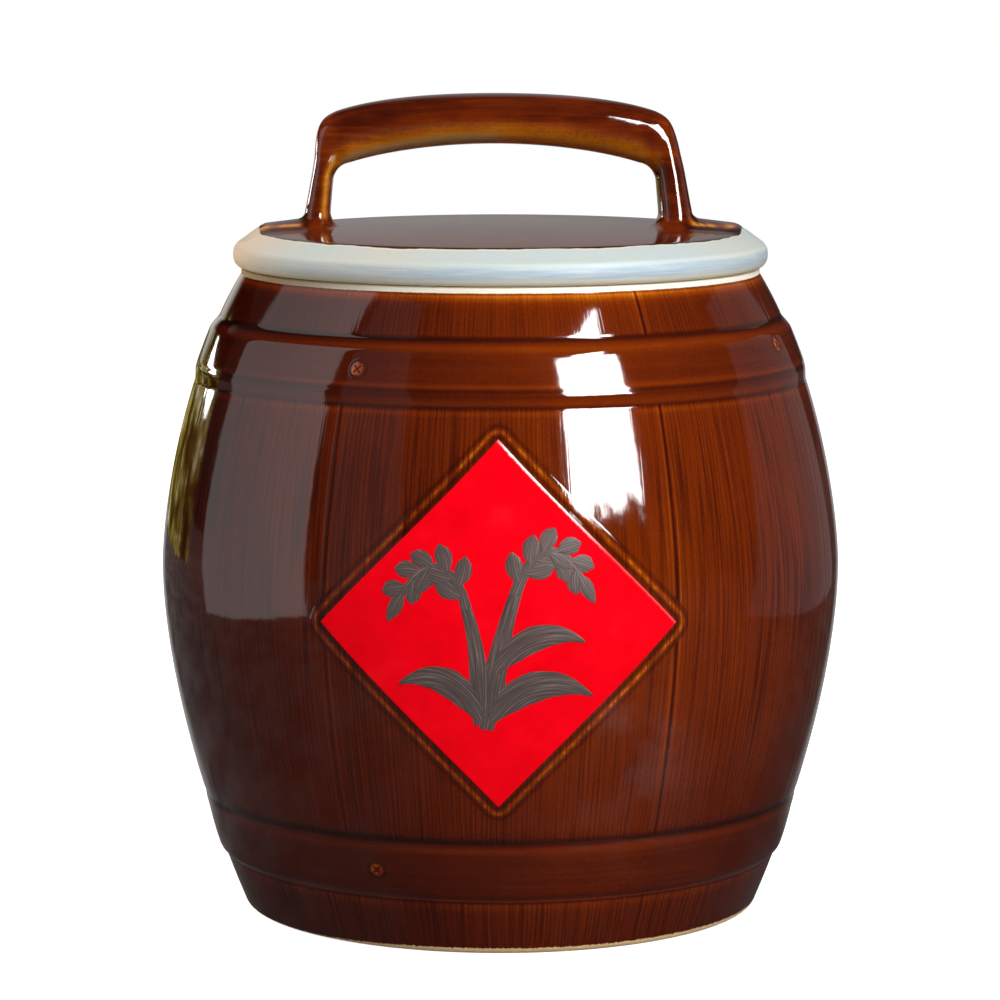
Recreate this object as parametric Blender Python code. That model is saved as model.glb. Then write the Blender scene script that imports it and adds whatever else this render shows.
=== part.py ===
"""Rice storage jar in glazed stoneware, cast in the shape of a small stave barrel.

The body is one hollow casting: staves, two hoops, a diamond frame, a lip and a foot ring.
A red enamel panel fills the diamond, and the loose lid carries a strap handle luted on by its feet.
Metres, +Z up. The origin is the centre of the foot ring's underside, and -Y is the front.
"""
import math

import bmesh
import bpy
from mathutils import Vector
from mathutils.geometry import interpolate_bezier

# Overall sizes of the jar
BELLY_RADIUS = 0.1500
BELLY_HEIGHT = 0.1520
FOOT_RADIUS = 0.1135
SHOULDER_HEIGHT = 0.2810
SHOULDER_RADIUS = 0.1141
LIP_HEIGHT = 0.2835
TOTAL_HEIGHT = 0.3594
SEAT_GAP = 0.0003

# Pull of the wall curve at its four knots: from the belly down and up, and in to the foot and shoulder
BELLY_PULL_DOWN = 0.0350
BELLY_PULL_UP = 0.0238
FOOT_PULL = (0.1387, 0.0603)
SHOULDER_PULL = (0.1402, 0.2389)

# Hoops, pressed proud of the staves, with a bead under the high one
LOW_HOOP = (0.0245, 0.0510)
LOW_HOOP_PROUD = 0.0015
LOW_HOOP_EDGE = 0.0012
HIGH_HOOP = (0.2424, 0.2622)
HIGH_HOOP_PROUD = 0.0018
HIGH_HOOP_ROUND = 0.0045
HIGH_BEAD = (0.2352, 0.2416)
HIGH_BEAD_PROUD = 0.0016
HIGH_BEAD_NICK = 0.0003

# Cross-head screw heads modelled in relief on the hoops
HIGH_SCREWS = ((-26.8, 0.2497), (66.3, 0.2538), (156.0, 0.2505), (246.0, 0.2505))
LOW_SCREWS = ((-23.9, 0.0375), (96.0, 0.0375), (216.0, 0.0375))
SCREW_RADIUS = 0.0036
SCREW_PROUD = 0.0006
SCREW_SUNK = 0.0020
SCREW_SIDES = 12
SLOT_REACH = 0.0024
SLOT_HALF_WIDTH = 0.0004
SLOT_DEPTH = 0.0005

# Staves, by the angle of each seam from the front
FRONT_SEAM = 29.2
SIDE_SEAM = 70.0
SEAM_HALF_WIDTH = 0.0013
SEAM_DEPTH = 0.0004
WIDE_STAVE_STEPS = 10
STAVE_STEPS = 6

# Inside of the body, its lip and its foot ring
WALL = 0.0090
MOUTH_RADIUS = 0.1000
THROAT_HEIGHT = 0.2740
INSIDE_FLOOR = 0.0160
LIP_ROUND = 0.0018
FOOT_ROUND = 0.0022
FOOT_RING_INNER = 0.0960
FOOT_RECESS = 0.0050

# Diamond panel, its recess and the bead round it
PANEL_HEIGHT = 0.1456
PANEL_ACROSS = -0.0010
PANEL_HALF = 0.0788
PANEL_THICK = 0.0012
PANEL_STEPS = 12
RECESS_DEPTH = 0.0015
BEAD_OFFSET = 0.0037
BEAD_CORNER = 0.0050
BEAD_HALF_WIDTH = 0.0022
BEAD_PROUD = 0.0006
BEAD_SUNK = 0.0012
BEAD_STEPS = 7
BEAD_CORNER_STEPS = 3

# Lid
LID_RADIUS = 0.1178
LID_TOP_RADIUS = 0.1055
LID_EDGE_HEIGHT = 0.2990
LID_DOME = 0.0040
RIM_SHOULDER = (0.1140, 0.2947)
RIM_LOW = 0.2838
RIM_FLAT_RADIUS = 0.1140
COLLAR_OUTER = 0.0970
COLLAR_INNER = 0.0905
COLLAR_LOW = 0.2715
LID_INSIDE_HEIGHT = 0.2910
LID_STEPS = 60

# Handle: outer and inner outline of one half as knots and pulls, (x, z)
OUTER_FOOT = (0.0866, 0.3000)
OUTER_LEG = (0.0804, 0.3328)
OUTER_CORNER_PULLS = ((0.0786, 0.3472), (0.0759, 0.3488))
OUTER_CORNER = (0.0700, 0.3516)
OUTER_BAR_PULLS = ((0.0550, 0.3567), (0.0318, TOTAL_HEIGHT))
INNER_FOOT = (0.0728, 0.3000)
INNER_LEG = (0.0709, 0.3215)
INNER_CORNER_PULLS = ((0.0701, 0.3252), (0.0679, 0.3283))
INNER_CORNER = (0.0633, 0.3290)
INNER_BAR_PULLS = ((0.0494, 0.3335), (0.0255, 0.3373))
INNER_TOP = 0.3373
GRIP_HALF_DEPTH = 0.0135
LEG_HALF_DEPTH = 0.0150
GRIP_SIDES = 20
GRIP_SQUARENESS = 2.5
LEG_STEPS = 5
CORNER_STEPS = 6
BAR_STEPS = 7
FOOT_FLARE = 0.0045
FLARE_STEPS = 4
FOOT_SUNK = 0.0030

# Lean of the hand-pressed handle to the left, at its legs and at its bar
OUTER_LEAN = (0.0009, 0.0021)
INNER_LEAN = (0.0027, 0.0027)
LEAN_START = 0.3250
LEAN_END = 0.3470

# Tongue of the handle's foot that swells out over the lid to its rim
TONGUE_INNER = (0.0780, 0.3040)
TONGUE_KNEE = (0.1045, 0.3024)
TONGUE_OUTER = (0.1158, 0.2940)
TONGUE_HALF_DEPTH = 0.0190
TONGUE_END_HALF_DEPTH = 0.0110
TONGUE_RISE = 0.0060
TONGUE_THICK = 0.0080
TONGUE_STEPS = 5
TONGUE_SIDES = 14

BROWN_GLAZE = (0.105, 0.022, 0.008)
CELADON_GLAZE = (0.640, 0.700, 0.680)
RED_ENAMEL = (0.800, 0.008, 0.012)


def clear_scene():
    for item in list(bpy.data.objects):
        bpy.data.objects.remove(item, do_unlink=True)


def glaze(name, colour, roughness):
    material = bpy.data.materials.new(name)
    material.use_nodes = True
    shader = material.node_tree.nodes["Principled BSDF"]
    shader.inputs["Base Color"].default_value = (*colour, 1.0)
    shader.inputs["Roughness"].default_value = roughness
    shader.inputs["Metallic"].default_value = 0.0
    return material


def add_object(name, mesh, material=None, smooth_angle=30.0):
    item = bpy.data.objects.new(name, mesh)
    bpy.context.collection.objects.link(item)
    if material:
        mesh.materials.append(material)
    mesh.shade_smooth()
    mesh.set_sharp_from_angle(angle=math.radians(smooth_angle))
    return item


def as_cutter(item):
    item.hide_render = True
    item.display_type = "WIRE"
    return item


def boolean(item, operation, other):
    step = item.modifiers.new(f"{operation.lower()}_{other.name}", "BOOLEAN")
    step.operation = operation
    step.solver = "EXACT"
    step.object = other


def smooth_step(value):
    value = min(max(value, 0.0), 1.0)
    return value * value * (3.0 - 2.0 * value)


def bezier(knot, pull, next_pull, next_knot, steps):
    """Points of one curve between two knots in a plane, both ends included."""
    flat = [Vector((a, 0.0, b)) for a, b in (knot, pull, next_pull, next_knot)]
    return [(point.x, point.z) for point in interpolate_bezier(*flat, steps + 1)]


# Wall of the barrel

def wall_curves():
    belly = (BELLY_RADIUS, BELLY_HEIGHT)
    low = bezier(belly, (BELLY_RADIUS, BELLY_HEIGHT - BELLY_PULL_DOWN), FOOT_PULL, (FOOT_RADIUS, 0.0), 200)
    shoulder = (SHOULDER_RADIUS, SHOULDER_HEIGHT)
    high = bezier(belly, (BELLY_RADIUS, BELLY_HEIGHT + BELLY_PULL_UP), SHOULDER_PULL, shoulder, 200)
    return low, high


LOW_CURVE, HIGH_CURVE = wall_curves()


def wall_radius(height):
    """Radius of the plain stave wall at a height, read from the two wall curves."""
    curve = LOW_CURVE if height < BELLY_HEIGHT else HIGH_CURVE
    for (radius, level), (next_radius, next_level) in zip(curve, curve[1:]):
        if (level - height) * (next_level - height) <= 0.0:
            share = (height - level) / (next_level - level)
            return radius + share * (next_radius - radius)
    return curve[-1][0]


def hoop_relief(height):
    """How far the hoops stand proud of the stave wall at a height."""
    low, high = LOW_HOOP
    if low < height < high:
        return LOW_HOOP_PROUD * math.sin(math.pi * (height - low) / (high - low)) ** 0.7
    low, high = HIGH_HOOP
    if low <= height < high:
        return HIGH_HOOP_PROUD * smooth_step((high - height) / HIGH_HOOP_ROUND)
    low, high = HIGH_BEAD
    if low < height <= high:
        nick = HIGH_BEAD_NICK if height == high else 0.0
        return HIGH_BEAD_PROUD * math.sin(math.pi / 2 * (height - low) / (high - low)) ** 0.5 - nick
    return 0.0


def seam_reach(height):
    """1 where the stave seams show, 0 under the hoops, the lip and the foot."""
    under_low_hoop = LOW_HOOP[0] - 0.0001 < height < LOW_HOOP[1] + 0.0001
    under_high_hoop = HIGH_BEAD[0] - 0.0001 < height < HIGH_HOOP[1] + 0.0001
    off_the_wall = height < FOOT_ROUND or height > SHOULDER_HEIGHT - 0.0008
    return 0.0 if under_low_hoop or under_high_hoop or off_the_wall else 1.0


def stave_angles():
    """Angles of the wall's columns from the front, in radians, each with 1 in a seam and 0 beside it."""
    seams = [-SIDE_SEAM, -FRONT_SEAM, FRONT_SEAM, SIDE_SEAM, 180 - SIDE_SEAM, 180 - FRONT_SEAM]
    seams += [180 + FRONT_SEAM, 180 + SIDE_SEAM]
    half = SEAM_HALF_WIDTH / BELLY_RADIUS
    columns = []
    for seam, next_seam in zip(seams, seams[1:] + [seams[0] + 360]):
        start = math.radians(seam) + half
        end = math.radians(next_seam) - half
        steps = WIDE_STAVE_STEPS if next_seam - seam > 50 else STAVE_STEPS
        columns.append((math.radians(seam), 1.0))
        columns += [(start + (end - start) * step / steps, 0.0) for step in range(steps + 1)]
    return columns


def wall_heights():
    """Heights of the wall's rows from the foot up, close together only at the edges of the hoops."""
    low, low_top = LOW_HOOP
    rows = [FOOT_ROUND, 0.009, 0.017, low, low + LOW_HOOP_EDGE, 0.031, 0.038, 0.045]
    rows += [low_top - LOW_HOOP_EDGE, low_top]
    rows += [BELLY_HEIGHT + 0.0184 * step for step in range(-5, 5)]
    bead, bead_top = HIGH_BEAD
    rows += [bead, bead + 0.0008, (bead + bead_top) / 2, bead_top - 0.0008, bead_top]
    high, high_top = HIGH_HOOP
    rows += [high, 0.2505, high_top - HIGH_HOOP_ROUND, high_top - 0.0025, high_top - 0.0008, high_top]
    return rows + [0.2710, SHOULDER_HEIGHT]


def arc(centre, radius, start, end, steps):
    """Points of an arc in the profile plane, angles in degrees from the outward radius."""
    angles = [math.radians(start + (end - start) * step / steps) for step in range(steps + 1)]
    return [(centre[0] + radius * math.cos(a), centre[1] + radius * math.sin(a)) for a in angles]


def inside_outline():
    """Inside of the body from the lip down to the middle of its floor."""
    rows = [0.262, 0.235, 0.195, 0.152, 0.110, 0.075, 0.048]
    outline = [(MOUTH_RADIUS + LIP_ROUND, LIP_HEIGHT), (MOUTH_RADIUS, LIP_HEIGHT - LIP_ROUND)]
    outline += [(MOUTH_RADIUS, THROAT_HEIGHT), (MOUTH_RADIUS + 0.0045, THROAT_HEIGHT - 0.004)]
    outline += [(wall_radius(row) - WALL, row) for row in rows]
    corner = (wall_radius(0.036) - WALL - 0.020, INSIDE_FLOOR + 0.020)
    outline += arc(corner, 0.020, 0.0, -90.0, 3)
    return outline + [(0.0, INSIDE_FLOOR)]


def body_outline():
    """The body's section from the axis under the foot, up the wall, over the lip and down inside."""
    foot = [(0.0, FOOT_RECESS), (FOOT_RING_INNER - 0.004, FOOT_RECESS), (FOOT_RING_INNER, 0.0)]
    foot += [(FOOT_RADIUS - FOOT_ROUND, 0.0)]
    wall = [(wall_radius(row) + hoop_relief(row), row) for row in wall_heights()]
    lip = [(SHOULDER_RADIUS + 0.0003, LIP_HEIGHT - LIP_ROUND), (SHOULDER_RADIUS - LIP_ROUND, LIP_HEIGHT)]
    return foot + wall + lip + inside_outline()


def turned_mesh(name, outline, columns, groove=None):
    """Turn an outline, listed from the axis at the bottom to the axis again, round the given columns.

    groove takes a column's mark and a height, and says how far in that point is pressed.
    """
    shape = bmesh.new()
    rings = []
    for radius, height in outline:
        if radius == 0.0:
            rings.append([shape.verts.new((0.0, 0.0, height))])
            continue
        ring = []
        for angle, mark in columns:
            reach = radius - (groove(mark, radius, height) if groove else 0.0)
            ring.append(shape.verts.new((reach * math.sin(angle), -reach * math.cos(angle), height)))
        rings.append(ring)
    count = len(columns)
    for low, high in zip(rings, rings[1:]):
        for step in range(count):
            after = (step + 1) % count
            if len(low) == 1:
                shape.faces.new((low[0], high[step], high[after]))
            elif len(high) == 1:
                shape.faces.new((low[step], low[after], high[0]))
            else:
                shape.faces.new((low[step], low[after], high[after], high[step]))
    bmesh.ops.recalc_face_normals(shape, faces=shape.faces)
    mesh = bpy.data.meshes.new(name)
    shape.to_mesh(mesh)
    shape.free()
    return mesh


def press_seam(mark, radius, height):
    on_the_wall = radius > wall_radius(min(height, SHOULDER_HEIGHT)) - 0.001
    return SEAM_DEPTH * mark * seam_reach(height) if on_the_wall else 0.0


# Diamond on the front

def on_wall(across, up, proud):
    """A point by its distance across the wall and up from the panel's middle, standing proud of the wall."""
    height = PANEL_HEIGHT + up
    radius = wall_radius(height) + proud
    angle = (across + PANEL_ACROSS) / BELLY_RADIUS
    return Vector((radius * math.sin(angle), -radius * math.cos(angle), height))


def diamond_plate(name, half, inner, outer):
    """A plate in the shape of a diamond that follows the wall between two depths."""
    shape = bmesh.new()
    sheets = []
    for proud in (inner, outer):
        sheet = []
        for row in range(PANEL_STEPS + 1):
            for column in range(PANEL_STEPS + 1):
                u = row / PANEL_STEPS
                v = column / PANEL_STEPS
                sheet.append(shape.verts.new(on_wall(half * (u - v), half * (u + v - 1.0), proud)))
        sheets.append(sheet)
    side = PANEL_STEPS + 1
    inner_sheet, outer_sheet = sheets
    for row in range(PANEL_STEPS):
        for column in range(PANEL_STEPS):
            corner = row * side + column
            quad = (corner, corner + 1, corner + side + 1, corner + side)
            shape.faces.new([outer_sheet[index] for index in quad])
            shape.faces.new([inner_sheet[index] for index in reversed(quad)])
    border = [(0, step) for step in range(PANEL_STEPS)]
    border += [(step, PANEL_STEPS) for step in range(PANEL_STEPS)]
    border += [(PANEL_STEPS, step) for step in range(PANEL_STEPS, 0, -1)]
    border += [(step, 0) for step in range(PANEL_STEPS, 0, -1)]
    loop = [row * side + column for row, column in border]
    for index, after in zip(loop, loop[1:] + loop[:1]):
        shape.faces.new((inner_sheet[index], inner_sheet[after], outer_sheet[after], outer_sheet[index]))
    bmesh.ops.recalc_face_normals(shape, faces=shape.faces)
    mesh = bpy.data.meshes.new(name)
    shape.to_mesh(mesh)
    shape.free()
    return mesh


def on_hoop(angle, height, across, up, proud):
    """A point beside a screw's middle on a hoop, standing proud of the hoop's face along its normal."""
    radius = wall_radius(height) + hoop_relief(height)
    slope = (wall_radius(height + 0.002) - wall_radius(height - 0.002)) / 0.004
    tilt = math.atan(slope)
    out = radius + proud * math.cos(tilt) + up * math.sin(tilt)
    level = height + up * math.cos(tilt) - proud * math.sin(tilt)
    turn = math.radians(angle)
    right = Vector((math.cos(turn), math.sin(turn), 0.0))
    return Vector((out * math.sin(turn), -out * math.cos(turn), level)) + right * across


def screw_prisms(name, outline, bottom, top, chamfer):
    """One prism of an outline on every screw's place, narrowed by a chamfer at its top."""
    shape = bmesh.new()
    for angle, height in HIGH_SCREWS + LOW_SCREWS:
        levels = [(bottom, 1.0), (top - chamfer, 1.0), (top, 1.0 - 2 * chamfer / SCREW_RADIUS)]
        rings = [
            [shape.verts.new(on_hoop(angle, height, a * size, b * size, proud)) for a, b in outline]
            for proud, size in (levels if chamfer else levels[:1] + [(top, 1.0)])
        ]
        for ring, after in zip(rings, rings[1:]):
            for step in range(len(ring)):
                beside = (step + 1) % len(ring)
                shape.faces.new((ring[step], ring[beside], after[beside], after[step]))
        shape.faces.new(rings[0])
        shape.faces.new(rings[-1])
    bmesh.ops.recalc_face_normals(shape, faces=shape.faces)
    mesh = bpy.data.meshes.new(name)
    shape.to_mesh(mesh)
    shape.free()
    return as_cutter(add_object(name, mesh))


def screw_heads():
    turns = [2.0 * math.pi * step / SCREW_SIDES for step in range(SCREW_SIDES)]
    circle = [(SCREW_RADIUS * math.cos(turn), SCREW_RADIUS * math.sin(turn)) for turn in turns]
    return screw_prisms("screw_heads", circle, -SCREW_SUNK, SCREW_PROUD, 0.0003)


def screw_slots():
    """A cross of twelve corners, turned by 45 degrees into an X."""
    reach, half = SLOT_REACH, SLOT_HALF_WIDTH
    arm = [(half, half), (reach, half), (reach, -half)]
    cross = []
    for quarter in range(4):
        turn = math.radians(45.0 - 90.0 * quarter)
        for a, b in arm:
            cross.append((a * math.cos(turn) - b * math.sin(turn), a * math.sin(turn) + b * math.cos(turn)))
    return screw_prisms("screw_slots", cross, SCREW_PROUD - SLOT_DEPTH, SCREW_PROUD + 0.001, 0.0)


def bead_path():
    """The bead's middle line round the diamond with rounded corners: (across, up, direction outwards)."""
    reach = PANEL_HALF + (BEAD_OFFSET - BEAD_CORNER) * math.sqrt(2.0)
    path = []
    for corner in range(4):
        turn = math.radians(90.0 * corner - 90.0)
        across, up = math.cos(turn), math.sin(turn)
        for step in range(BEAD_CORNER_STEPS + 1):
            out = turn + math.radians(90.0 * step / BEAD_CORNER_STEPS - 45.0)
            round_off = (BEAD_CORNER * math.cos(out), BEAD_CORNER * math.sin(out))
            path.append((reach * across + round_off[0], reach * up + round_off[1], out))
        along = (-reach * (across + up), reach * (across - up))
        start = path[-1]
        for step in range(1, BEAD_STEPS):
            share = step / BEAD_STEPS
            path.append((start[0] + along[0] * share, start[1] + along[1] * share, start[2]))
    return path


def bead_frame():
    """The raised bead round the diamond, swept along its path."""
    width = BEAD_HALF_WIDTH
    section = [(-width, -BEAD_SUNK), (-width, 0.0), (-0.6 * width, 0.75 * BEAD_PROUD), (0.0, BEAD_PROUD)]
    section += [(0.6 * width, 0.75 * BEAD_PROUD), (width, 0.0), (width, -BEAD_SUNK)]
    shape = bmesh.new()
    rings = []
    for across, up, out in bead_path():
        places = [(across + a * math.cos(out), up + a * math.sin(out), proud) for a, proud in section]
        rings.append([shape.verts.new(on_wall(*place)) for place in places])
    for ring, after in zip(rings, rings[1:] + rings[:1]):
        count = len(ring)
        for step in range(count):
            beside = (step + 1) % count
            shape.faces.new((ring[step], ring[beside], after[beside], after[step]))
    bmesh.ops.recalc_face_normals(shape, faces=shape.faces)
    mesh = bpy.data.meshes.new("bead_frame")
    shape.to_mesh(mesh)
    shape.free()
    return as_cutter(add_object("bead_frame", mesh))


# Lid

def even_columns(count):
    return [(2.0 * math.pi * step / count, 0.0) for step in range(count)]


def lid_top_height(radius):
    return LID_EDGE_HEIGHT + LID_DOME * (1.0 - (radius / LID_TOP_RADIUS) ** 2)


def lid_outline():
    """The lid's section from the axis underneath, out over the collar and rim, and back over the top."""
    outline = [(0.0, LID_INSIDE_HEIGHT), (COLLAR_INNER - 0.006, LID_INSIDE_HEIGHT)]
    outline += [(COLLAR_INNER, LID_INSIDE_HEIGHT - 0.006), (COLLAR_INNER, COLLAR_LOW + 0.001)]
    outline += [(COLLAR_INNER + 0.001, COLLAR_LOW), (COLLAR_OUTER - 0.001, COLLAR_LOW)]
    outline += [(COLLAR_OUTER, COLLAR_LOW + 0.001), (COLLAR_OUTER, RIM_LOW), (RIM_FLAT_RADIUS, RIM_LOW)]
    outline += [(0.1160, 0.2847), (0.1173, 0.2866), (LID_RADIUS, 0.2891), (0.1174, 0.2915), (0.1161, 0.2936)]
    outline += [RIM_SHOULDER, (LID_TOP_RADIUS, LID_EDGE_HEIGHT)]
    outline += [(radius, lid_top_height(radius)) for radius in (0.092, 0.074, 0.050, 0.025)]
    return outline + [(0.0, lid_top_height(0.0))]


# Handle

def half_outline(foot, leg, corner_pulls, corner, bar_pulls, top):
    """One half of an outline of the handle, from its foot to the middle of its bar."""
    points = [
        (foot[0] + (leg[0] - foot[0]) * step / LEG_STEPS, foot[1] + (leg[1] - foot[1]) * step / LEG_STEPS)
        for step in range(LEG_STEPS)
    ]
    points += bezier(leg, *corner_pulls, corner, CORNER_STEPS)[:-1]
    return points + bezier(corner, *bar_pulls, (0.0, top), BAR_STEPS)


def grip_ring(outer, inner, half_depth, spread=0.0):
    """One section of the handle between its two outlines, a rounded rectangle."""
    middle = Vector(((outer[0] + inner[0]) / 2, 0.0, (outer[1] + inner[1]) / 2))
    reach = Vector((outer[0] - middle.x, 0.0, outer[1] - middle.z))
    reach *= (reach.length + spread) / reach.length
    ring = []
    for side in range(GRIP_SIDES):
        angle = 2.0 * math.pi * side / GRIP_SIDES
        along = math.copysign(abs(math.cos(angle)) ** (2.0 / GRIP_SQUARENESS), math.cos(angle))
        across = math.copysign(abs(math.sin(angle)) ** (2.0 / GRIP_SQUARENESS), math.sin(angle))
        ring.append(middle + reach * along + Vector((0.0, (half_depth + spread) * across, 0.0)))
    return ring


def leaned(outline, lean, side):
    """One half of an outline on one side of the axis, moved to the left by the handle's lean."""
    foot_lean, bar_lean = lean
    points = []
    for x, z in outline:
        share = smooth_step((z - LEAN_START) / (LEAN_END - LEAN_START))
        points.append((x - side * (foot_lean + (bar_lean - foot_lean) * share), z))
    return points


def half_rings(side):
    """Sections of one half from below its foot to the middle of the bar, laid out towards +X."""
    outer = half_outline(
        OUTER_FOOT, OUTER_LEG, OUTER_CORNER_PULLS, OUTER_CORNER, OUTER_BAR_PULLS, TOTAL_HEIGHT
    )
    inner = half_outline(INNER_FOOT, INNER_LEG, INNER_CORNER_PULLS, INNER_CORNER, INNER_BAR_PULLS, INNER_TOP)
    outer = leaned(outer, OUTER_LEAN, side)
    inner = leaned(inner, INNER_LEAN, side)
    seat = lid_top_height((OUTER_FOOT[0] + INNER_FOOT[0]) / 2)
    rings = []
    for step in range(FLARE_STEPS + 1):
        rise = FOOT_FLARE * step / FLARE_STEPS
        spread = FOOT_FLARE - math.sqrt(FOOT_FLARE ** 2 - (FOOT_FLARE - rise) ** 2)
        level = seat + rise
        share_out = (level - outer[0][1]) / (outer[1][1] - outer[0][1])
        share_in = (level - inner[0][1]) / (inner[1][1] - inner[0][1])
        outer_x = outer[0][0] + share_out * (outer[1][0] - outer[0][0])
        inner_x = inner[0][0] + share_in * (inner[1][0] - inner[0][0])
        rings.append(grip_ring((outer_x, level), (inner_x, level), LEG_HALF_DEPTH, 0.9 * spread))
    root = [point - Vector((0.0, 0.0, FOOT_SUNK)) for point in rings[0]]
    above = [pair for pair in zip(outer, inner) if min(pair[0][1], pair[1][1]) > seat + FOOT_FLARE + 0.0015]
    for number, (out, into) in enumerate(above):
        share = smooth_step(number / (len(above) - 1))
        half_depth = LEG_HALF_DEPTH + share * (GRIP_HALF_DEPTH - LEG_HALF_DEPTH)
        rings.append(grip_ring(out, into, half_depth))
    return [root] + rings


def handle_rings():
    """Sections along the whole handle, from below its right foot, over the bar, to below its left foot."""
    rings = half_rings(1.0)
    for ring in reversed(half_rings(-1.0)[:-1]):
        rings.append([Vector((-point.x, point.y, point.z)) for point in ring])
    return rings


def lofted_mesh(name, rings):
    """A solid through a row of rings with the same number of points, capped flat at both ends."""
    shape = bmesh.new()
    loops = [[shape.verts.new(point) for point in ring] for ring in rings]
    for loop, after in zip(loops, loops[1:]):
        count = len(loop)
        for step in range(count):
            beside = (step + 1) % count
            shape.faces.new((loop[step], loop[beside], after[beside], after[step]))
    shape.faces.new(loops[0])
    shape.faces.new(loops[-1])
    bmesh.ops.recalc_face_normals(shape, faces=shape.faces)
    mesh = bpy.data.meshes.new(name)
    shape.to_mesh(mesh)
    shape.free()
    return mesh


def tongue_stations():
    """Crest of the tongue from the leg out to the rim, with its half depth: (x, z, half depth)."""
    inner, knee, outer = TONGUE_INNER, TONGUE_KNEE, TONGUE_OUTER
    middle = ((inner[0] + knee[0]) / 2, (inner[1] + knee[1]) / 2)
    stations = [(*inner, TONGUE_HALF_DEPTH), (*middle, TONGUE_HALF_DEPTH)]
    for step in range(TONGUE_STEPS + 1):
        share = step / TONGUE_STEPS
        half_depth = TONGUE_END_HALF_DEPTH
        half_depth += (TONGUE_HALF_DEPTH - TONGUE_END_HALF_DEPTH) * math.cos(math.pi / 2 * share) ** 0.7
        drop = (knee[1] - outer[1]) * share
        stations.append((knee[0] + (outer[0] - knee[0]) * share, knee[1] - drop, half_depth))
    return stations


def tongue(name, side):
    """The low tongue that carries a foot of the handle out to the rim, arched across its depth."""
    rings = []
    for x, crest, half_depth in tongue_stations():
        ring = [Vector((side * x, -half_depth, crest - TONGUE_THICK))]
        for step in range(TONGUE_SIDES + 1):
            angle = math.pi * step / TONGUE_SIDES
            height = crest - TONGUE_RISE * (1.0 - math.sin(angle))
            ring.append(Vector((side * x, -half_depth * math.cos(angle), height)))
        ring.append(Vector((side * x, half_depth, crest - TONGUE_THICK)))
        rings.append(ring)
    return as_cutter(add_object(name, lofted_mesh(name, rings)))


def build_body(brown):
    body = add_object("jar_body", turned_mesh("jar_body", body_outline(), stave_angles(), press_seam), brown)
    recess = diamond_plate("panel_recess", PANEL_HALF + SEAT_GAP, -RECESS_DEPTH, BEAD_PROUD)
    boolean(body, "UNION", bead_frame())
    boolean(body, "UNION", screw_heads())
    boolean(body, "DIFFERENCE", screw_slots())
    boolean(body, "DIFFERENCE", as_cutter(add_object("panel_recess", recess)))
    return body


def build_panel(red):
    back = SEAT_GAP - RECESS_DEPTH
    plate = diamond_plate("diamond_panel", PANEL_HALF, back, back + PANEL_THICK)
    return add_object("diamond_panel", plate, red)


def build_lid(pale):
    return add_object("lid", turned_mesh("lid", lid_outline(), even_columns(LID_STEPS)), pale)


def build_handle(brown, lid):
    handle = add_object("lid_handle", lofted_mesh("lid_handle", handle_rings()), brown)
    seat = bpy.data.objects.new("lid_seat", lid.data.copy())
    bpy.context.collection.objects.link(seat)
    seat.location.z = SEAT_GAP
    boolean(handle, "UNION", tongue("tongue_right", 1.0))
    boolean(handle, "UNION", tongue("tongue_left", -1.0))
    boolean(handle, "DIFFERENCE", as_cutter(seat))
    return handle


def main():
    clear_scene()
    brown = glaze("brown_glaze", BROWN_GLAZE, 0.12)
    pale = glaze("celadon_glaze", CELADON_GLAZE, 0.22)
    red = glaze("red_enamel", RED_ENAMEL, 0.35)
    build_body(brown)
    build_panel(red)
    lid = build_lid(pale)
    handle = build_handle(brown, lid)
    lid_axis = bpy.data.objects.new("lid_axis", None)
    bpy.context.collection.objects.link(lid_axis)
    lid.parent = lid_axis
    handle.parent = lid_axis


main()
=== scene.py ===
"""Looks of the rice storage jar: a glazed stoneware barrel with a red diamond panel and a handled lid.

Metres, +Z up, with the jar's front towards -Y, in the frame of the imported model.
"""
import math

import bpy
import numpy as np
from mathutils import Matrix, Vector
from mathutils.geometry import interpolate_bezier


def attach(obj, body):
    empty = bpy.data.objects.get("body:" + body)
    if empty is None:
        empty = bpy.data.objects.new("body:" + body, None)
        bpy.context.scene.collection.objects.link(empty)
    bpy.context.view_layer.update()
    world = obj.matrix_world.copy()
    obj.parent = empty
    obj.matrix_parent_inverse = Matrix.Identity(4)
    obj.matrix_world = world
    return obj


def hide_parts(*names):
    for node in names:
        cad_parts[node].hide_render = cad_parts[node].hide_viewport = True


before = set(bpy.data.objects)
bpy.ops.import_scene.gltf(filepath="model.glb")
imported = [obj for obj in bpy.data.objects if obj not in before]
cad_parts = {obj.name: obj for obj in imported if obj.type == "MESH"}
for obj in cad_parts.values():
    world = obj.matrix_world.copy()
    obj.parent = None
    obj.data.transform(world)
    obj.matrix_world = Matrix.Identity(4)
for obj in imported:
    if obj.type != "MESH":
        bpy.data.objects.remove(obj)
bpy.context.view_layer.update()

# Wall of the barrel: belly, and the pulls of its two curves, as (radius, height)
BELLY = (0.1500, 0.1520)
LOW_PULLS = ((0.1500, 0.1170), (0.1387, 0.0603))
FOOT = (0.1135, 0.0)
HIGH_PULLS = ((0.1500, 0.1758), (0.1402, 0.2389))
SHOULDER = (0.1141, 0.2810)
LIP_HEIGHT = 0.2835
WALL = 0.0090
MOUTH_RADIUS = 0.1000
INSIDE_FLOOR = 0.0160
FOOT_RECESS = 0.0050

# Hoops pressed proud of the staves, and the swell under the high one
LOW_HOOP = (0.0245, 0.0515)
LOW_HOOP_PROUD = 0.0015
HIGH_HOOP_LOW = 0.2338
HIGH_HOOP = (0.2424, 0.2628)
HIGH_HOOP_PROUD = 0.0018

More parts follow.
